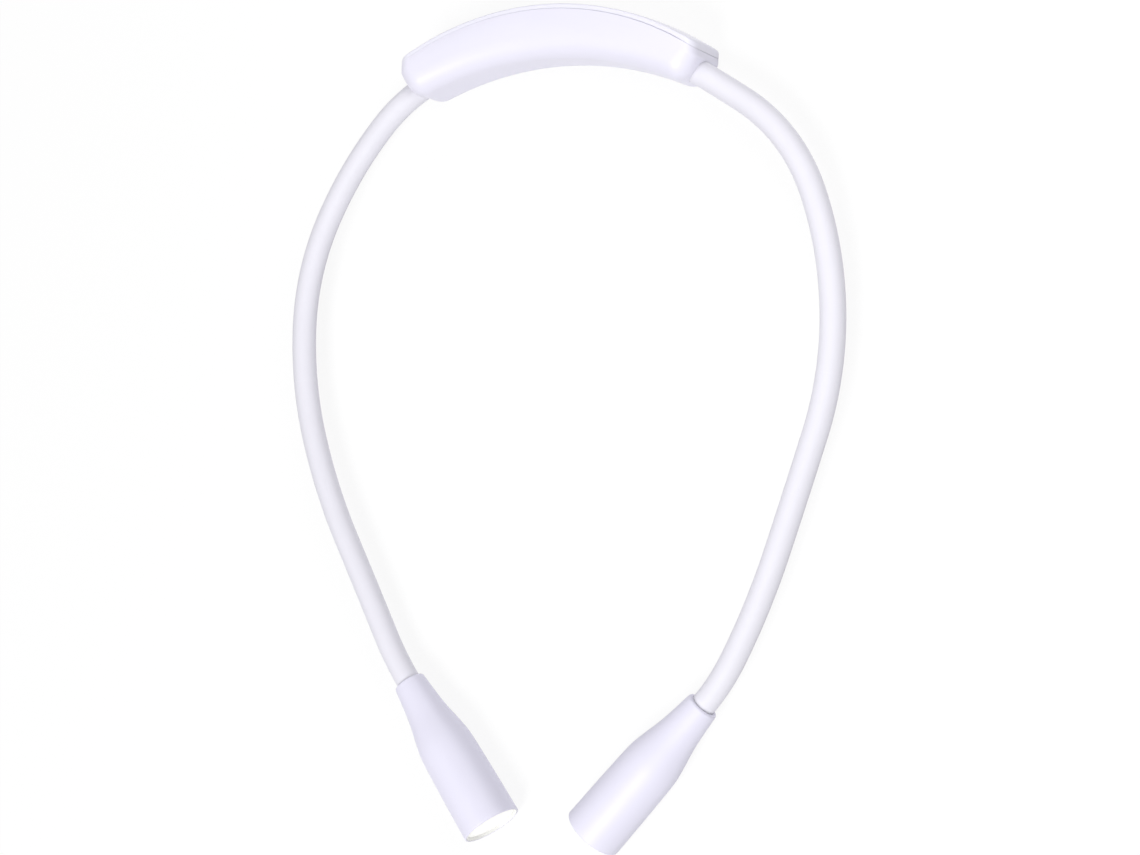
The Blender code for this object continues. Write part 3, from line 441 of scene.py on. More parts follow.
def plan_outline(sides, insets, roundings, height):
    """A closed ring of points at a height, the same on both sides of X = 0."""
    half = []
    for k, rounding in enumerate(roundings):
        half += corner(sides[k], sides[k + 1], insets[k : k + 2], rounding)
    half = half_arc(shifted(sides[0], insets[0]), half[0]) + half
    half += reversed(half_arc(shifted(sides[-1], insets[-1]), half[-1]))
    mirrored = [Vector((-point.x, point.y)) for point in reversed(half[1:-1])]
    return [Vector((point.x, point.y, height)) for point in half + mirrored]


def edge_heights(rounding, steps):
    """Heights from an edge at which its rounding has a ring."""
    return [rounding * (1 - math.cos(math.pi / 2 * k / steps)) for k in range(steps + 1)]


def both_edges(heights):
    """Heights measured from the lower edge, and the same from the upper edge, in order."""
    return sorted({*heights, *(HOUSING_HEIGHT - height for height in heights)})


def edge_inset(rounding, height):
    """How far a rounded edge lies inside its side, this high above the edge."""
    reach = min(max(rounding - height, 0), rounding)
    return rounding - math.sqrt(rounding * rounding - reach * reach)


# The housing's plan

def outer_centre():
    size = sizes("housing")
    return size.depth / 2 - size.outer_radius


def seam_radius():
    size = sizes("housing")
    return size.outer_radius - size.cover_thickness


def arc_height(radius, x):
    """Y of a point at X on an arc about the outer arc's centre."""
    return outer_centre() + math.sqrt(radius * radius - x * x)


def heading_vector(heading):
    """Plan direction at an angle turned clockwise from +X."""
    return Vector((math.cos(heading), -math.sin(heading)))


def exit_heading():
    size = sizes("housing")
    return sizes("arms").exit_share * math.asin(size.half_span / size.outer_radius)


def facet_width():
    size = sizes("housing")
    return size.facet_margin + 2 * sizes("arms").radius + size.inner_margin


def facet_point(distance):
    """Plan point on the facet that an arm leaves from, this far from the housing's end face."""
    size = sizes("housing")
    heading = heading_vector(exit_heading())
    y = arc_height(seam_radius(), size.half_span) - size.end_width
    return Vector((size.half_span, y)) + Vector((heading.y, -heading.x)) * distance


def arm_exit():
    return facet_point(sizes("housing").facet_margin + sizes("arms").radius)


def facet_side(outer_inset=0, inner_inset=0):
    """The facet's line, which may lie further in at its inner end than beside the cover."""
    heading = heading_vector(exit_heading())
    start, end = facet_point(0) - heading * outer_inset, facet_point(facet_width()) - heading * inner_inset
    along = end - start
    return line_side((start + end) / 2, (-along.y, along.x))


def end_side():
    return line_side(facet_point(0), (1, 0))


def inner_side():
    """The arc on the side of the neck, through its middle and the facets' inner ends."""
    apex = -sizes("housing").depth / 2
    end = facet_point(facet_width())
    drop = apex - end.y
    radius = (end.x * end.x + drop * drop) / (2 * drop)
    return arc_side(apex - radius, radius, -1)


# The arms' centre lines

def station(index):
    return STATION_SHARES[index] * sizes("arms").length


def arm_frame(side, along):
    """World frame on an arm's centre line, its Z axis along the arm and its Y axis up."""
    length = sizes("arms").length
    head = head_rest()
    before = heading = exit_heading()
    point = arm_exit() + heading_vector(heading) * min(along, 0)
    for index, goal in enumerate(getattr(sizes("arms"), f"{side}_headings")):
        stretch = station(index + 1) - station(index)
        run = min(max(along - station(index), 0), stretch)
        turn = (goal - before) * run / stretch
        chord = run * math.sin(turn / 2) / (turn / 2) if turn else 0
        point += heading_vector(heading + turn / 2) * chord
        heading += turn
        before = goal
    beyond = max(along - length, 0)
    point += heading_vector(heading) * beyond * math.cos(head["tilt"])
    fall = min(max(along, 0), length) / length * (head["height"] - MIDDLE_HEIGHT)
    height = MIDDLE_HEIGHT + fall + beyond * math.sin(head["tilt"])
    slope = 0 if along < 0 else math.atan2(head["height"] - MIDDLE_HEIGHT, length)
    if along >= length:
        slope = head["tilt"]
    flat = heading_vector(heading)
    sign = SIDES[side]
    forward = Vector((sign * flat.x * math.cos(slope), flat.y * math.cos(slope), math.sin(slope)))
    across = forward.cross(UP).normalized() * -1
    place = Matrix((across, forward.cross(across), forward)).transposed().to_4x4()
    place.translation = (sign * point.x, point.y, height)
    return place


def head_rest():
    """Height of a lamp's neck and tilt of its axis, with the barrel lying on the table."""
    barrel, rim = FLARE[-4], FLARE[-1]
    tilt = math.atan2(rim[1] - barrel[1], rim[0] - barrel[0])
    return {"tilt": tilt, "height": barrel[1] * math.cos(tilt) - barrel[0] * math.sin(tilt)}

# Shader groups

def connect(tree, term, socket):
    """Links an output to a socket, or sets a number or colour on it. None leaves the socket as it is."""
    if isinstance(term, bpy.types.NodeSocket):
        tree.links.new(term, socket)
    elif term is not None:
        socket.default_value = term


def add_node(tree, kind, *terms, **settings):
    """A node with its settings, whose first inputs are connected to the terms."""
    node = tree.nodes.new(kind)
    for name, value in settings.items():
        setattr(node, name, value)
    for term, socket in zip(terms, node.inputs):
        connect(tree, term, socket)
    return node


def wire(tree, node, **sockets):
    """Connects a node's inputs by their names."""
    for label, term in sockets.items():
        connect(tree, term, node.inputs[label.replace("_", " ")])
    return node


def calculated(tree, operation, first, second, **settings):
    return add_node(tree, "ShaderNodeMath", first, second, operation=operation, **settings).outputs[0]


def scaled(tree, value, factor, offset=0.0):
    """value * factor + offset, where each may be an output or a number."""
    return add_node(tree, "ShaderNodeMath", value, factor, offset, operation="MULTIPLY_ADD").outputs[0]


def brightened(tree, colour, level):
    """A colour times a level."""
    node = add_node(tree, "ShaderNodeVectorMath", colour, operation="SCALE")
    return wire(tree, node, Scale=level).outputs[0]


def noise(tree, place, scale, detail):
    node = add_node(tree, "ShaderNodeTexNoise")
    return wire(tree, node, Vector=place, Scale=scale, Detail=detail).outputs["Fac"]


def new_group(name, inputs, outputs):
    """An empty shader group. A default of None stands for a vector socket, and a tuple for a colour."""
    group = bpy.data.node_groups.new(name, "ShaderNodeTree")
    for label, value in inputs.items():
        kind = "Vector" if value is None else "Color" if isinstance(value, tuple) else "Float"
        socket = group.interface.new_socket(name=label, in_out="INPUT", socket_type=f"NodeSocket{kind}")
        if value is not None:
            socket.default_value = value
    for label in outputs:
        kind = "Color" if label == "Colour" else "Float"
        group.interface.new_socket(name=label, in_out="OUTPUT", socket_type=f"NodeSocket{kind}")
    return group, group.nodes.new("NodeGroupInput").outputs, group.nodes.new("NodeGroupOutput")


def moulded_grain_group():
    """Moulding grain: fine pits on broad shallow waves, with slow shifts of tone and of gloss."""
    group, source, result = new_group(
        "moulded_grain",
        {"Place": None, "Colour": PALE, "Grain Scale": 3000.0, "Tone Shift": 0.02, "Gloss": 0.45,
         "Gloss Shift": 0.05},
        ("Colour", "Roughness", "Height"),
    )
    pits = noise(group, source["Place"], source["Grain Scale"], 2.0)
    waves = noise(group, source["Place"], WAVES_PER_METRE, 1.0)
    clouds = noise(group, source["Place"], CLOUDS_PER_METRE, 3.0)
    tone = scaled(group, scaled(group, clouds, 2.0, -1.0), source["Tone Shift"], 1.0)
    mixed = scaled(group, waves, 0.5, scaled(group, pits, 0.5))
    wire(
        group, result, Colour=brightened(group, source["Colour"], tone),
        Roughness=scaled(group, mixed, source["Gloss Shift"], source["Gloss"]),
        Height=scaled(group, waves, 0.8, pits))
    return group


def shade_dust_and_highlight_group():
    """Painted shade in the crevices, partly dusty and rougher there, and a painted highlight that makes edges
    paler and a little smoother.
    """
    group, source, result = new_group(
        "handling", {"Colour": PALE, "Roughness": 0.4, "Dust": 0.3, "Rub": 0.5, "Reach": 0.0006},
        ("Colour", "Roughness"),
    )
    open_share = add_node(group, "ShaderNodeAmbientOcclusion", samples=8)
    wire(group, open_share, Distance=CREVICE_REACH)
    # Painted shade, partly dusty: the colour darkens where other surfaces are near, where shade falls in
    # crevices and seams, and the roughness rises there
    shade_and_dust_in_crevices = scaled(group, scaled(group, open_share.outputs["AO"], -1.0, 1.0), source["Dust"])
    rounded = add_node(group, "ShaderNodeBevel", source["Reach"], samples=6).outputs["Normal"]
    plain = add_node(group, "ShaderNodeNewGeometry").outputs["Normal"]
    align = add_node(group, "ShaderNodeVectorMath", rounded, plain, operation="DOT_PRODUCT").outputs["Value"]
    # Painted highlight: edges, where the surface turns sharply, are made paler, and a little smoother
    edge = calculated(group, "MULTIPLY", scaled(group, align, -1.0, 1.0), source["Rub"], use_clamp=True)
    brightness = scaled(group, shade_and_dust_in_crevices, -1.0, scaled(group, edge, 0.3, 1.0))
    smoother = scaled(group, edge, -0.2, source["Roughness"])
    wire(
        group, result, Colour=brightened(group, source["Colour"], brightness),
        Roughness=scaled(group, shade_and_dust_in_crevices, 0.3, smoother))
    return group


def lint_group():
    """Sparse specks of lint, as soft rubber picks up."""
    group, source, result = new_group(
        "lint", {"Place": None, "Colour": PALE, "Speck Scale": 500.0, "Speck Size": 0.08, "Change": -0.12},
        ("Colour",),
    )
    cells = add_node(group, "ShaderNodeTexVoronoi")
    wire(group, cells, Vector=source["Place"], Scale=source["Speck Scale"])
    near = calculated(group, "LESS_THAN", cells.outputs["Distance"], source["Speck Size"])
    parts = add_node(group, "ShaderNodeSeparateColor", cells.outputs["Color"])
    rare = calculated(group, "LESS_THAN", parts.outputs[0], LINT_SHARE)
    level = scaled(group, scaled(group, near, rare), source["Change"], 1.0)
    wire(group, result, Colour=brightened(group, source["Colour"], level))
    return group


GROUP_MAKERS = {"moulded_grain": moulded_grain_group, "handling": shade_dust_and_highlight_group, "lint": lint_group}


def placed_group(tree, name, **sockets):
    node = add_node(tree, "ShaderNodeGroup")
    node.node_tree = bpy.data.node_groups.get(name) or GROUP_MAKERS[name]()
    return wire(tree, node, **sockets)


# Materials

class Look(NamedTuple):
    """A slot's finish. Where it gives no colour, the finishes group has one under the slot's name."""

    colour: tuple
    grain: float  # pits per metre
    tone: float  # shift of the colour, as a share
    gloss: float  # roughness
    gloss_shift: float
    depth: float  # of the bumps, in metres
    metallic: float = 0.0
    place: str = ""  # the piece's own attribute, where it isn't laid out on its Object coordinates
    # strength of the painted shade in crevices, which is partly dusty
    dust: float = 0.0
    # strength of the painted highlight on edges, which also makes them smoother
    rub: float = 0.0
    lint: float = 0.0
    lines: float = 0.0  # height of the lines drawn along a rod, against its grain


LOOKS = {
    "housing": Look((), 2600, 0.012, 0.32, 0.12, 0.00002, dust=0.3, rub=0.5),
    "cover": Look((), 2600, 0.01, 0.26, 0.08, 0.00001, dust=0.3),
    "shell": Look((), 3200, 0.012, 0.40, 0.14, 0.00002, place="axis_place", dust=0.4, rub=0.6),
    "sleeve": Look(
        (), 1800, 0.02, 0.54, 0.14, 0.00003, place="axis_place", dust=0.4, rub=0.2, lint=0.05, lines=0.7),
    "button": Look((), 2800, 0.02, 0.52, 0.12, 0.00002, dust=0.3, rub=0.4, lint=0.06),
    "core": Look((0.50, 0.50, 0.52), 1800, 0.10, 0.30, 0.15, 0.00003, 1.0),
    "anchor": Look((0.72, 0.55, 0.28), 1500, 0.12, 0.28, 0.15, 0.00003, 1.0),
    "lens": Look((0.60, 0.60, 0.58), 4200, 0.02, 0.30, 0.15, 0.00002, place="axis_place"),
    "reflector": Look((0.93, 0.93, 0.93), 2600, 0.02, 0.25, 0.05, 0.00001),
    "board": Look((0.015, 0.16, 0.07), 1200, 0.30, 0.35, 0.15, 0.00002),
    "led": Look((0.95, 0.78, 0.20), 2600, 0.10, 0.40, 0.10, 0.00001),
    "lead": Look((0.48, 0.04, 0.03), 2200, 0.08, 0.42, 0.10, 0.00001),
    "battery": Look((0.66, 0.67, 0.70), 320, 0.10, 0.30, 0.18, 0.00012, 0.7),
    "steel": Look((0.66, 0.66, 0.68), 2400, 0.08, 0.24, 0.14, 0.00001, 1.0),
    "black": Look((0.03, 0.03, 0.035), 2600, 0.15, 0.42, 0.12, 0.00002),
    "window": Look((0.88, 0.90, 0.92), 2600, 0.02, 0.16, 0.06, 0.00001),
}


def material_for(slot):
    """The material of one of the record's slots, or of the cover, made when it is first asked for."""
    name = f"light_{slot}"
    if name in bpy.data.materials:
        return bpy.data.materials[name]
    look = LOOKS[slot]
    colour = look.colour or getattr(sizes("finishes"), slot)
    material = bpy.data.materials.new(name)
    material.use_nodes = True
    tree = material.node_tree
    if look.place:
        spot = add_node(tree, "ShaderNodeAttribute", attribute_name=look.place).outputs["Vector"]
    else:
        spot = add_node(tree, "ShaderNodeTexCoord").outputs["Object"]
    surface = placed_group(
        tree, "moulded_grain", Place=spot, Colour=(*colour, 1.0), Grain_Scale=look.grain,
        Tone_Shift=look.tone, Gloss=look.gloss, Gloss_Shift=look.gloss_shift)
    paint, roughness, height = surface.outputs
    if look.lint:
        paint = placed_group(tree, "lint", Place=spot, Colour=paint, Change=-look.lint).outputs["Colour"]
    # Painted shade in crevices, partly dusty, and a painted highlight on edges
    if look.dust or look.rub:
        shade_and_highlight = placed_group(tree, "handling", Colour=paint, Roughness=roughness, Dust=look.dust, Rub=look.rub)
        paint, roughness = shade_and_highlight.outputs
    if look.lines:
        drawn = wire(tree, add_node(tree, "ShaderNodeMapping"), Vector=spot, Scale=(1.0, 1.0, LINE_STRETCH))
        height = scaled(tree, noise(tree, drawn.outputs["Vector"], look.grain, 1.0), look.lines, height)
    bump = add_node(tree, "ShaderNodeBump")
    wire(tree, bump, Height=height, Strength=BUMP_STRENGTH, Distance=look.depth)
    shader = wire(
        tree, tree.nodes["Principled BSDF"], Base_Color=paint, Roughness=roughness,
        Normal=bump.outputs["Normal"], Metallic=look.metallic)
    if slot == "sleeve":
        wire(tree, shader, Sheen_Weight=SHEEN, Sheen_Roughness=SHEEN_ROUGHNESS)
    if slot == "lens":
        add_glow(tree, shader, spot)
    return material


def add_glow(tree, shader, spot):
    """The lamp's light behind frosted plastic, strongest in the middle, and dark in the groove."""
    paint, head = sizes("finishes"), sizes("head")
    across = add_node(tree, "ShaderNodeVectorMath", spot, (1.0, 1.0, 0.0), operation="MULTIPLY")
    radius = add_node(tree, "ShaderNodeVectorMath", across.outputs[0], operation="LENGTH").outputs["Value"]
    foot = 1 - head.ring_slope / head.ring_radius
    face = foot - head.groove / head.ring_radius
    steps = add_node(tree, "ShaderNodeValToRGB", scaled(tree, radius, 1 / head.ring_radius))
    levels = {
        0: 1.0, 0.8 * face: 0.97, face: 0.92, face + GROOVE_EDGE: GROOVE_LEVEL,
        foot - GROOVE_EDGE: GROOVE_LEVEL, foot: RING_LEVEL, 1: RING_LEVEL,
    }
    stops = steps.color_ramp.elements
    for place, level in levels.items():
        stop = stops[0] if place == 0 else stops[-1] if place == 1 else stops.new(place)
        stop.color = (level, level, level, 1.0)
    glow = brightened(tree, paint.glow, steps.outputs["Color"])
    wire(tree, shader, Emission_Color=glow, Emission_Strength=paint.glow_strength)


# Housing pieces

class READINGLIGHT_OT_housing_shell(bpy.types.Operator):
    """Moulded housing with its room and the bores for the arms"""

    bl_idname = "reading_light.housing_shell"
    bl_label = "Housing shell"

    def execute(self, context):
        size = sizes("housing")
        outer = arc_side(outer_centre(), seam_radius() - size.seam_gap)
        rings = []
        heights = edge_heights(max(size.edge_roundings), steps=18) + edge_heights(size.seam_rounding, steps=2)
        for height in both_edges(heights):
            edge = min(height, HOUSING_HEIGHT - height)
            end, facet_start, facet_end, inside = (edge_inset(value, edge) for value in size.edge_roundings)
            insets = (edge_inset(size.seam_rounding, edge), end, 0, inside)
            tighter = (size.inner_rounding - size.inner_rounding_top) * inside / size.edge_roundings[-1]
            roundings = (size.seam_rounding, size.end_rounding, size.inner_rounding - tighter)
            sides = [outer, end_side(), facet_side(facet_start, facet_end), inner_side()]
            rings.append(plan_outline(sides, insets, roundings, height))
        shell = new_piece("housing_shell", ring_mesh("housing_shell", rings), "housing")
        room = []
        heights = [size.wall + height for height in edge_heights(size.room_rounding, steps=4)]
        for height in both_edges(heights):
            edge = min(height, HOUSING_HEIGHT - height) - size.wall
            insets = (-OVERRUN, size.socket_depth, size.wall + edge_inset(size.room_rounding, edge))
            room.append(plan_outline([outer, facet_side(), inner_side()], insets, (0, 0), height))
        sleeve_bore = sizes("arms").radius + size.seam_gap
        deep = -size.socket_depth - OVERRUN
        profile = [(OVERRUN, 0), (OVERRUN, sleeve_bore), (-size.arm_insert, sleeve_bore)]
        profile += [(-size.arm_insert, size.core_bore), (deep, size.core_bore), (deep, 0)]
        helpers = [ring_mesh("room", room)]
        for side in SIDES:
            mesh = lathe_mesh("bore", profile, sides=64)
            mesh.transform(arm_frame(side, 0))
            helpers.append(mesh)
        cut(shell, helpers)
        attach(shell, "housing")
        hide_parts("housing_body")
        return {"FINISHED"}


def pill(width, height, middle_x, depth_at):
    """A ring of a round-ended slot, seen along Y, whose depth follows a function of X."""
    radius = height / 2
    points = []
    for sign in (1, -1):
        for k in range(PILL_STEPS + 1):
            angle = math.pi * k / PILL_STEPS - math.pi / 2
            x = middle_x + sign * ((width - height) / 2 + radius * math.cos(angle))
            points.append(Vector((x, depth_at(x), MIDDLE_HEIGHT + sign * radius * math.sin(angle))))
    return points


class READINGLIGHT_OT_housing_cover(bpy.types.Operator):
    """Crowned cover over the outer side, with the holes for the port, the buttons and the indicator"""

    bl_idname = "reading_light.housing_cover"
    bl_label = "Housing cover"

    def execute(self, context):
        size = sizes("housing")
        rings = []
        for height in self.ring_heights(size):
            edge = min(height, HOUSING_HEIGHT - height) - size.cover_step
            seam = edge_inset(size.seam_rounding, edge)
            insets = (edge_inset(size.cover_rounding, edge), edge_inset(size.cover_corner, edge), seam)
            crown = size.cover_crown * (1 - ((height - MIDDLE_HEIGHT) / MIDDLE_HEIGHT) ** 2)
            sides = [arc_side(outer_centre(), size.outer_radius + crown), end_side()]
            sides.append(arc_side(outer_centre(), seam_radius(), -1))
            roundings = (size.cover_end - insets[0], size.seam_rounding)
            rings.append(plan_outline(sides, insets, roundings, height))
        cover = new_piece("cover_shell", ring_mesh("cover_shell", rings), "cover")
        cut(cover, self.lips(size), "UNION")
        cut(cover, self.holes(sizes("buttons")))
        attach(cover, "housing")
        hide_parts("housing_cover")
        return {"FINISHED"}

    def ring_heights(self, size):
        """Heights of the rings that the cover's roundings and its crown need."""
        flat = HOUSING_HEIGHT - 2 * (size.cover_corner + size.cover_step)
        heights = edge_heights(size.cover_corner, steps=12) + edge_heights(size.cover_rounding, steps=6)
        heights += edge_heights(size.seam_rounding, steps=2)
        heights += [size.cover_corner + flat * k / CROWN_STEPS for k in range(1, CROWN_STEPS // 2 + 1)]
        return both_edges([size.cover_step + height for height in heights])

    def lips(self, size):
        """Meshes of the two lips that locate the cover in the housing's room."""
        lip_low = size.wall + CLEARANCE
        root = seam_radius() + size.cover_thickness / 2
        band = [
            arc_side(outer_centre(), root),
            line_side((size.lip_half_span, arc_height(root, size.lip_half_span)), (1, 0)),
            arc_side(outer_centre(), seam_radius() - size.lip_depth, -1),
        ]
        meshes = []
        for low in (lip_low, HOUSING_HEIGHT - lip_low - size.lip_thickness):
            heights = (low, low + size.lip_thickness)
            rows = [plan_outline(band, (0, 0, 0), (0, 0), height) for height in heights]
            meshes.append(ring_mesh("lip", rows))
        return meshes

    def holes(self, button):
        """Meshes that cut the holes for the port, the buttons and the indicator."""
        low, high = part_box("housing_cover")
        window = 2 * button.indicator_radius
        holes = [(button.port_width, button.port_height, 0)]
        holes += [(button.width, button.height, sign * button.place) for sign in SIDES.values()]
        holes.append((window, window, button.indicator_place))
        meshes = []
        for width, height, place in holes:
            wide, tall = width + 2 * CLEARANCE, height + 2 * CLEARANCE
            rows = [pill(wide, tall, place, lambda x: depth) for depth in (low.y, high.y + OVERRUN)]
            meshes.append(ring_mesh("hole", rows))
        return meshes


# Arms

def stored_attribute(tree, geometry, name, kind, value):
    """Stores a value on the points of a geometry, and gives the geometry's new output."""
    store = add_node(tree, "GeometryNodeStoreNamedAttribute", data_type=kind, domain="POINT")
    return wire(tree, store, Geometry=geometry, Name=name, Value=value).outputs["Geometry"]


def sleeve_tree():
    """Geometry Nodes: a sleeve round a centre line, which keeps each point's place on the straight rod."""
    tree = bpy.data.node_groups.new("silicone_sleeve", "GeometryNodeTree")
    sockets = {
        "Geometry": "Geometry", "Radius": "Float", "Sides": "Int", "Start": "Float", "Material": "Material",
    }
    for label, kind in sockets.items():
        tree.interface.new_socket(name=label, in_out="INPUT", socket_type=f"NodeSocket{kind}")
    tree.interface.new_socket(name="Geometry", in_out="OUTPUT", socket_type="NodeSocketGeometry")
    source = add_node(tree, "NodeGroupInput").outputs
    line = add_node(tree, "GeometryNodeMeshToCurve", source["Geometry"]).outputs["Curve"]
    upright = add_node(tree, "GeometryNodeSetCurveNormal", line, mode="Z_UP").outputs["Curve"]
    ring = add_node(tree, "GeometryNodeCurvePrimitiveCircle")
    wire(tree, ring, Resolution=source["Sides"], Radius=source["Radius"])
    reach = add_node(tree, "GeometryNodeSplineParameter").outputs["Length"]
    along = calculated(tree, "ADD", reach, source["Start"])
    rods = stored_attribute(tree, upright, "rod_length", "FLOAT", along)
    section = add_node(tree, "GeometryNodeInputPosition").outputs["Position"]
    turns = stored_attribute(tree, ring.outputs["Curve"], "rod_section", "FLOAT_VECTOR", section)
    skin = wire(tree, add_node(tree, "GeometryNodeCurveToMesh"), Curve=rods, Profile_Curve=turns)
    height, turn = (
        add_node(tree, "GeometryNodeInputNamedAttribute", name, data_type=kind).outputs["Attribute"]
        for name, kind in (("rod_length", "FLOAT"), ("rod_section", "FLOAT_VECTOR"))
    )
    lift = wire(tree, add_node(tree, "ShaderNodeCombineXYZ"), Z=height).outputs["Vector"]
    place = add_node(tree, "ShaderNodeVectorMath", turn, lift, operation="ADD").outputs["Vector"]
    stored = stored_attribute(tree, skin.outputs["Mesh"], "axis_place", "FLOAT_VECTOR", place)
    real = add_node(tree, "GeometryNodeRealizeInstances", stored).outputs["Geometry"]
    finish = wire(tree, add_node(tree, "GeometryNodeSetMaterial"), Geometry=real, Material=source["Material"])
    add_node(tree, "NodeGroupOutput", finish.outputs["Geometry"])
    return tree


def centre_line(name, side, start, end):
    """A line of points along an arm, close together near its ends so that neighbours join smoothly."""
    size = sizes("arms")
    near = size.end_step
    middle = end - start - 4 * near
    count = round(middle / size.point_step)
    places = [start, start + near, start + 2 * near]
    places += [start + 2 * near + middle * k / count for k in range(1, count)]
    places += [end - 2 * near, end - near, end]
    points = [arm_frame(side, along).translation for along in places]
    mesh = bpy.data.meshes.new(name)
    mesh.from_pydata(points, [(k, k + 1) for k in range(len(points) - 1)], [])
    return mesh


class READINGLIGHT_OT_arms(bpy.types.Operator):
    """Silicone sleeves of both arms, each stretch reaching across one hinge"""

    bl_idname = "reading_light.arms"
    bl_label = "Arms"

    def execute(self, context):
        size = sizes("arms")
        tree = sleeve_tree()
        inputs = {item.name: item.identifier for item in tree.interface.items_tree if item.in_out == "INPUT"}
        last_hinge = SEGMENTS - 1
        ends = [(station(k) + station(k + 1)) / 2 for k in range(SEGMENTS)]
        ends[0] = CLEARANCE - sizes("housing").arm_insert
        ends[last_hinge] = size.length + size.head_insert
        for side in SIDES:
            for k in range(1, SEGMENTS):
                name = f"{side}_silicone_{k}"
                piece = new_piece(name, centre_line(name, side, ends[k - 1], ends[k]), "sleeve")
                maker = piece.modifiers.new("sleeve", "NODES")
                maker.node_group = tree
                values = {"Radius": size.radius, "Sides": 48, "Start": ends[k - 1]}
                for label, value in values.items():
                    maker[inputs[label]] = value
                maker[inputs["Material"]] = piece.active_material
                wall = piece.modifiers.new("wall", "SOLIDIFY")
                wall.thickness, wall.offset = size.wall, -1
                settle(piece)
                hinge = arm_frame(side, station(k))
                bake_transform(piece)
                replaced = [f"{side}_sleeve_{k}"]
                if k == last_hinge:
                    replaced.append(f"{side}_sleeve_{SEGMENTS}")
                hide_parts(*replaced)
        return {"FINISHED"}


# Lamp heads

def head_piece(name, side, profile, slot, closed=False):
    """A turned piece on the axis of a lamp head."""
    mesh = lathe_mesh(name, profile, sides=72, closed=closed)
    mesh.transform(arm_frame(side, sizes("arms").length))
    return new_piece(name, mesh, slot)


class READINGLIGHT_OT_lamp_shells(bpy.types.Operator):
    """Flared lamp shells, each with its neck bore, lens seat and rim"""

    bl_idname = "reading_light.lamp_shells"
    bl_label = "Lamp shells"

    def execute(self, context):
        size = sizes("head")
        neck, rim = FLARE[0], FLARE[-1]
        fit = sizes("housing").seam_gap
        lens_seat, ring_seat = size.lens_radius + CLEARANCE, size.ring_radius + fit
        front = size.length - size.lens_recess
        ledge = front - size.lens_thickness - CLEARANCE
        ring_ledge = front - size.ring_depth - fit
        bore = sizes("arms").radius + size.neck_fit
        neck_centre = (size.neck_rounding, neck[1] - size.neck_rounding)
        rim_centre = (size.length - size.rim_rounding, rim[1] - size.rim_rounding)
        outside = quarter_round(neck_centre, size.neck_rounding, 180, 90, steps=6)
        outside += eased(FLARE, steps=4)[1:]
        outside += quarter_round(rim_centre, size.rim_rounding, 90, 0, steps=6)
        leads, core, reflector, step = size.inside
        at_leads, at_core, at_reflector, at_step = size.inside_places
        inside = [
            (size.length - size.soft_edge, ring_seat), (ring_ledge, ring_seat), (ring_ledge, lens_seat),
            (ledge, lens_seat), (ledge, step), (at_step, step), (at_step, reflector),
            (at_reflector, reflector), (at_core, core), (at_core, leads), (at_leads, leads),
            (at_leads, bore), (fit, bore), (0, bore + fit),
        ]
        for side in SIDES:
            shell = head_piece(f"{side}_lamp_body", side, outside + inside, "shell", closed=True)
            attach(shell, f"{side}_arm_{SEGMENTS - 1}")
            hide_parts(f"{side}_lamp_shell")
        return {"FINISHED"}


class READINGLIGHT_OT_lenses(bpy.types.Operator):
    """Domed frosted lenses, each with a ring round it and a groove between the two"""

    bl_idname = "reading_light.lenses"
    bl_label = "Lenses"

    def execute(self, context):
        size = sizes("head")
        front, top, soft = size.length - size.lens_recess, size.length - size.soft_edge, size.soft_edge
        ring_back, ring = front - size.ring_depth, size.ring_radius
        foot = ring - size.ring_slope
        face = foot - size.groove
        profile = [(front - size.lens_thickness, 0), (front - size.lens_thickness, size.lens_radius)]
        profile += [(ring_back, size.lens_radius), (ring_back, ring)]
        profile += quarter_round((top - soft, ring - soft), soft, 90, 0, steps=3)
        floor = front - size.groove
        profile += [(top, ring - 2 * soft), (front, foot), (floor, foot), (floor, face)]
        for share in (k / LENS_STEPS for k in range(LENS_STEPS, -1, -1)):
            profile.append((front + size.lens_dome * (1 - share**2), face * share))
        for side in SIDES:
            lens = head_piece(f"{side}_frosted_lens", side, profile, "lens")
            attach(lens, f"{side}_arm_{SEGMENTS - 1}")
            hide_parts(f"{side}_lens")
        return {"FINISHED"}


# Small pieces in the cover

class READINGLIGHT_OT_buttons(bpy.types.Operator):
    """Push buttons with softened, slightly hollow caps, each on a flange and a stem"""

    bl_idname = "reading_light.buttons"
    bl_label = "Buttons"

    def execute(self, context):
        size, button = sizes("housing"), sizes("buttons")
        top = size.outer_radius + size.cover_crown + button.proud
        flange_top = seam_radius() - CLEARANCE
        flange_back = flange_top - button.flange_thickness
        soft = button.soft_edge
        for side, sign in SIDES.items():
            x = sign * button.place

            def ring(less, radius):
                """A ring this much shorter and lower than the cap, on an arc of the housing's plan."""
                wide, tall = button.width - less, button.height - less
                return pill(wide, tall, x, lambda place: arc_height(radius, place))

            def round_ring(width, depth_at):
                return pill(width, width, x, depth_at)

            rings = [pill(*BUTTON_MIDDLE, x, lambda place: arc_height(top - button.dish, place))]
            rings.append(ring(button.dish_margin, top - button.dish))
            rings.append(ring(2 * soft + button.dish_slope, top - button.dish / 4))
            for k in range(CAP_STEPS + 1):
                angle = math.pi / 2 * k / CAP_STEPS
                rings.append(ring(2 * soft * (1 - math.sin(angle)), top - soft * (1 - math.cos(angle))))
            rings += [ring(0, flange_top), ring(-button.flange, flange_top)]
            rings.append(ring(-button.flange, flange_back))
            rings.append(round_ring(button.stem, lambda place: arc_height(flange_back, place)))
            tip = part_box(f"{side}_button")[0].y
            rings.append(round_ring(button.stem, lambda place: tip))
            cap = new_piece(f"{side}_button_cap", ring_mesh(f"{side}_button_cap", rings), "button")
            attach(cap, f"{side}_button")
            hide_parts(f"{side}_button")
        return {"FINISHED"}


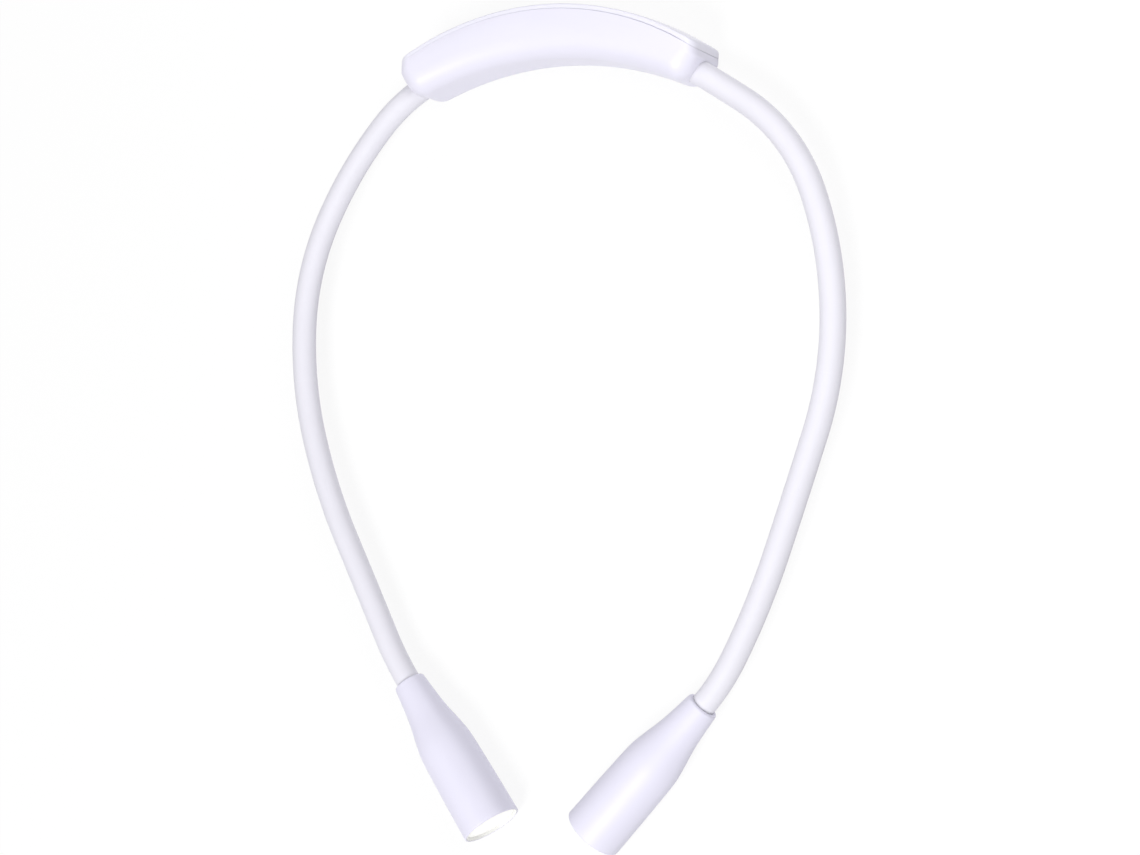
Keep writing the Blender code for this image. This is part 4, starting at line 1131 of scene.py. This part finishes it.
class READINGLIGHT_OT_charge_port(bpy.types.Operator):
    """Charge port's drawn steel shell"""

    bl_idname = "reading_light.charge_port"
    bl_label = "Charge port"

    def execute(self, context):
        button = sizes("buttons")
        low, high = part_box("charge_port_shell")
        wall, soft = button.port_wall, button.port_edge
        steps = [(2 * soft, low.y), (0, low.y + soft), (0, high.y - soft), (soft, high.y)]
        steps += [(2 * wall - soft, high.y), (2 * wall, high.y - soft), (2 * wall, low.y + wall)]
        rings = []
        for less, depth in steps:
            rings.append(pill(button.port_width - less, button.port_height - less, 0, lambda x: depth))
        port = new_piece("port_shell", ring_mesh("port_shell", rings), "steel")
        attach(port, "housing")
        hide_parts("charge_port_shell")
        return {"FINISHED"}


class READINGLIGHT_OT_inner_pieces(bpy.types.Operator):
    """Materials of the pieces that keep their solids"""

    bl_idname = "reading_light.inner_pieces"
    bl_label = "Inner pieces"

    def execute(self, context):
        for part in frame["record"]["subparts"]:
            node = frame["nodes"][part["node"]]
            if node.hide_render:
                continue
            for slot in node.material_slots:
                slot.material = material_for(part["material_slot"])
        return {"FINISHED"}


# Stage

def white_for(tree, dark, white):
    """Mixes in a white shader for the rays that see the surroundings."""
    path = add_node(tree, "ShaderNodeLightPath").outputs
    seen = calculated(tree, "MAXIMUM", path["Is Camera Ray"], path["Is Glossy Ray"])
    seen = calculated(tree, "MAXIMUM", seen, path["Is Transmission Ray"])
    return add_node(tree, "ShaderNodeMixShader", seen, dark.outputs[0], white.outputs[0]).outputs["Shader"]


class READINGLIGHT_OT_stage(bpy.types.Operator):
    """White floor and surroundings, three soft lights, and the camera"""

    bl_idname = "reading_light.stage"
    bl_label = "Stage"

    def execute(self, context):
        stage, scene = sizes("stage"), context.scene
        self.add_floor(scene, stage)
        self.add_surroundings(scene, stage)
        for name in ("key", "side", "back"):
            self.add_lamp(scene, stage, name)
        self.add_camera(scene, stage)
        scene.view_settings.view_transform = "Standard"
        return {"FINISHED"}

    def add_floor(self, scene, stage):
        """A floor that looks white but for a pale shadow, and lights the object as a grey one would."""
        mesh = bpy.data.meshes.new("floor")
        half, level = stage.floor_half_width, -stage.floor_drop
        corners = [(x * half, y * half, level) for x, y in ((-1, -1), (1, -1), (1, 1), (-1, 1))]
        mesh.from_pydata(corners, [], [(0, 1, 2, 3)])
        material = bpy.data.materials.new("pale_floor")
        material.use_nodes = True
        tree = material.node_tree
        tree.nodes.remove(tree.nodes["Principled BSDF"])
        shade, share = stage.floor_shade, stage.shadow_share
        grey = add_node(tree, "ShaderNodeBsdfDiffuse", (shade, shade, shade * 1.01, 1.0))
        lit = add_node(tree, "ShaderNodeBsdfDiffuse", (share, share, share, 1.0))
        glow = wire(tree, add_node(tree, "ShaderNodeEmission"), Strength=1.0 - share * FLOOR_LIGHT)
        both = add_node(tree, "ShaderNodeAddShader", lit.outputs[0], glow.outputs[0])
        wire(tree, tree.nodes["Material Output"], Surface=white_for(tree, grey, both))
        mesh.materials.append(material)
        floor = bpy.data.objects.new("floor", mesh)
        scene.collection.objects.link(floor)

    def add_surroundings(self, scene, stage):
        world = scene.world = bpy.data.worlds.new("surroundings")
        world.use_nodes = True
        tree = world.node_tree
        fill = wire(tree, tree.nodes["Background"], Color=(1.0, 0.99, 1.0, 1.0), Strength=stage.fill_strength)
        white = add_node(tree, "ShaderNodeBackground", (1.0, 1.0, 1.0, 1.0))
        wire(tree, tree.nodes["World Output"], Surface=white_for(tree, fill, white))

    def add_lamp(self, scene, stage, name):
        lamp = bpy.data.lights.new(f"{name}_light", "AREA")
        lamp.shape, lamp.size = "DISK", getattr(stage, f"{name}_size")
        lamp.energy = getattr(stage, f"{name}_power")
        light = bpy.data.objects.new(f"{name}_light", lamp)
        scene.collection.objects.link(light)
        place = Vector(getattr(stage, f"{name}_place"))
        turn = (place - Vector(stage.aim)).to_track_quat("Z", "Y")
        light.matrix_world = Matrix.Translation(place) @ turn.to_matrix().to_4x4()

    def add_camera(self, scene, stage):
        camera = bpy.data.cameras.new("camera")
        camera.sensor_fit, camera.sensor_width, camera.lens = "HORIZONTAL", 36, stage.focal_length
        camera.clip_start, camera.clip_end = 0.01, 20
        view = scene.camera = bpy.data.objects.new("camera", camera)
        scene.collection.objects.link(view)
        turned = Matrix((stage.camera_right, stage.camera_above, stage.camera_behind)).transposed().to_4x4()
        turned.translation = stage.camera_place
        view.matrix_world = turned


class READINGLIGHT_PT_panel(bpy.types.Panel):
    bl_label = "Reading Light"
    bl_idname = "READINGLIGHT_PT_panel"
    bl_space_type = "VIEW_3D"
    bl_region_type = "UI"
    bl_category = "Reading Light"

    def draw(self, context):
        for operator in OPERATORS:
            self.layout.operator(operator.bl_idname)
        for name, group in GROUPS.items():
            box = self.layout.box()
            box.label(text=name.capitalize())
            for prop in group.__annotations__:
                box.prop(sizes(name), prop)


GROUPS = {
    "housing": HousingSizes, "arms": ArmSizes, "head": HeadSizes, "buttons": ButtonSizes,
    "finishes": Finishes, "stage": StageSettings,
}
OPERATORS = (
    READINGLIGHT_OT_housing_shell, READINGLIGHT_OT_housing_cover, READINGLIGHT_OT_arms,
    READINGLIGHT_OT_lamp_shells, READINGLIGHT_OT_lenses, READINGLIGHT_OT_buttons, READINGLIGHT_OT_charge_port,
    READINGLIGHT_OT_inner_pieces, READINGLIGHT_OT_stage,
)


def register():
    for item in (*GROUPS.values(), *OPERATORS, READINGLIGHT_PT_panel):
        bpy.utils.register_class(item)
    for name, group in GROUPS.items():
        setattr(bpy.types.Scene, f"reading_light_{name}", PointerProperty(type=group))


def unregister():
    for name in GROUPS:
        delattr(bpy.types.Scene, f"reading_light_{name}")
    for item in (READINGLIGHT_PT_panel, *OPERATORS, *GROUPS.values()):
        bpy.utils.unregister_class(item)


def main():
    register()
    bpy.ops.reading_light.housing_shell()
    bpy.ops.reading_light.housing_cover()
    bpy.ops.reading_light.arms()
    bpy.ops.reading_light.lamp_shells()
    bpy.ops.reading_light.lenses()
    bpy.ops.reading_light.buttons()
    bpy.ops.reading_light.charge_port()
    bpy.ops.reading_light.inner_pieces()
    bpy.ops.reading_light.stage()


if __name__ == "__main__":
    main()
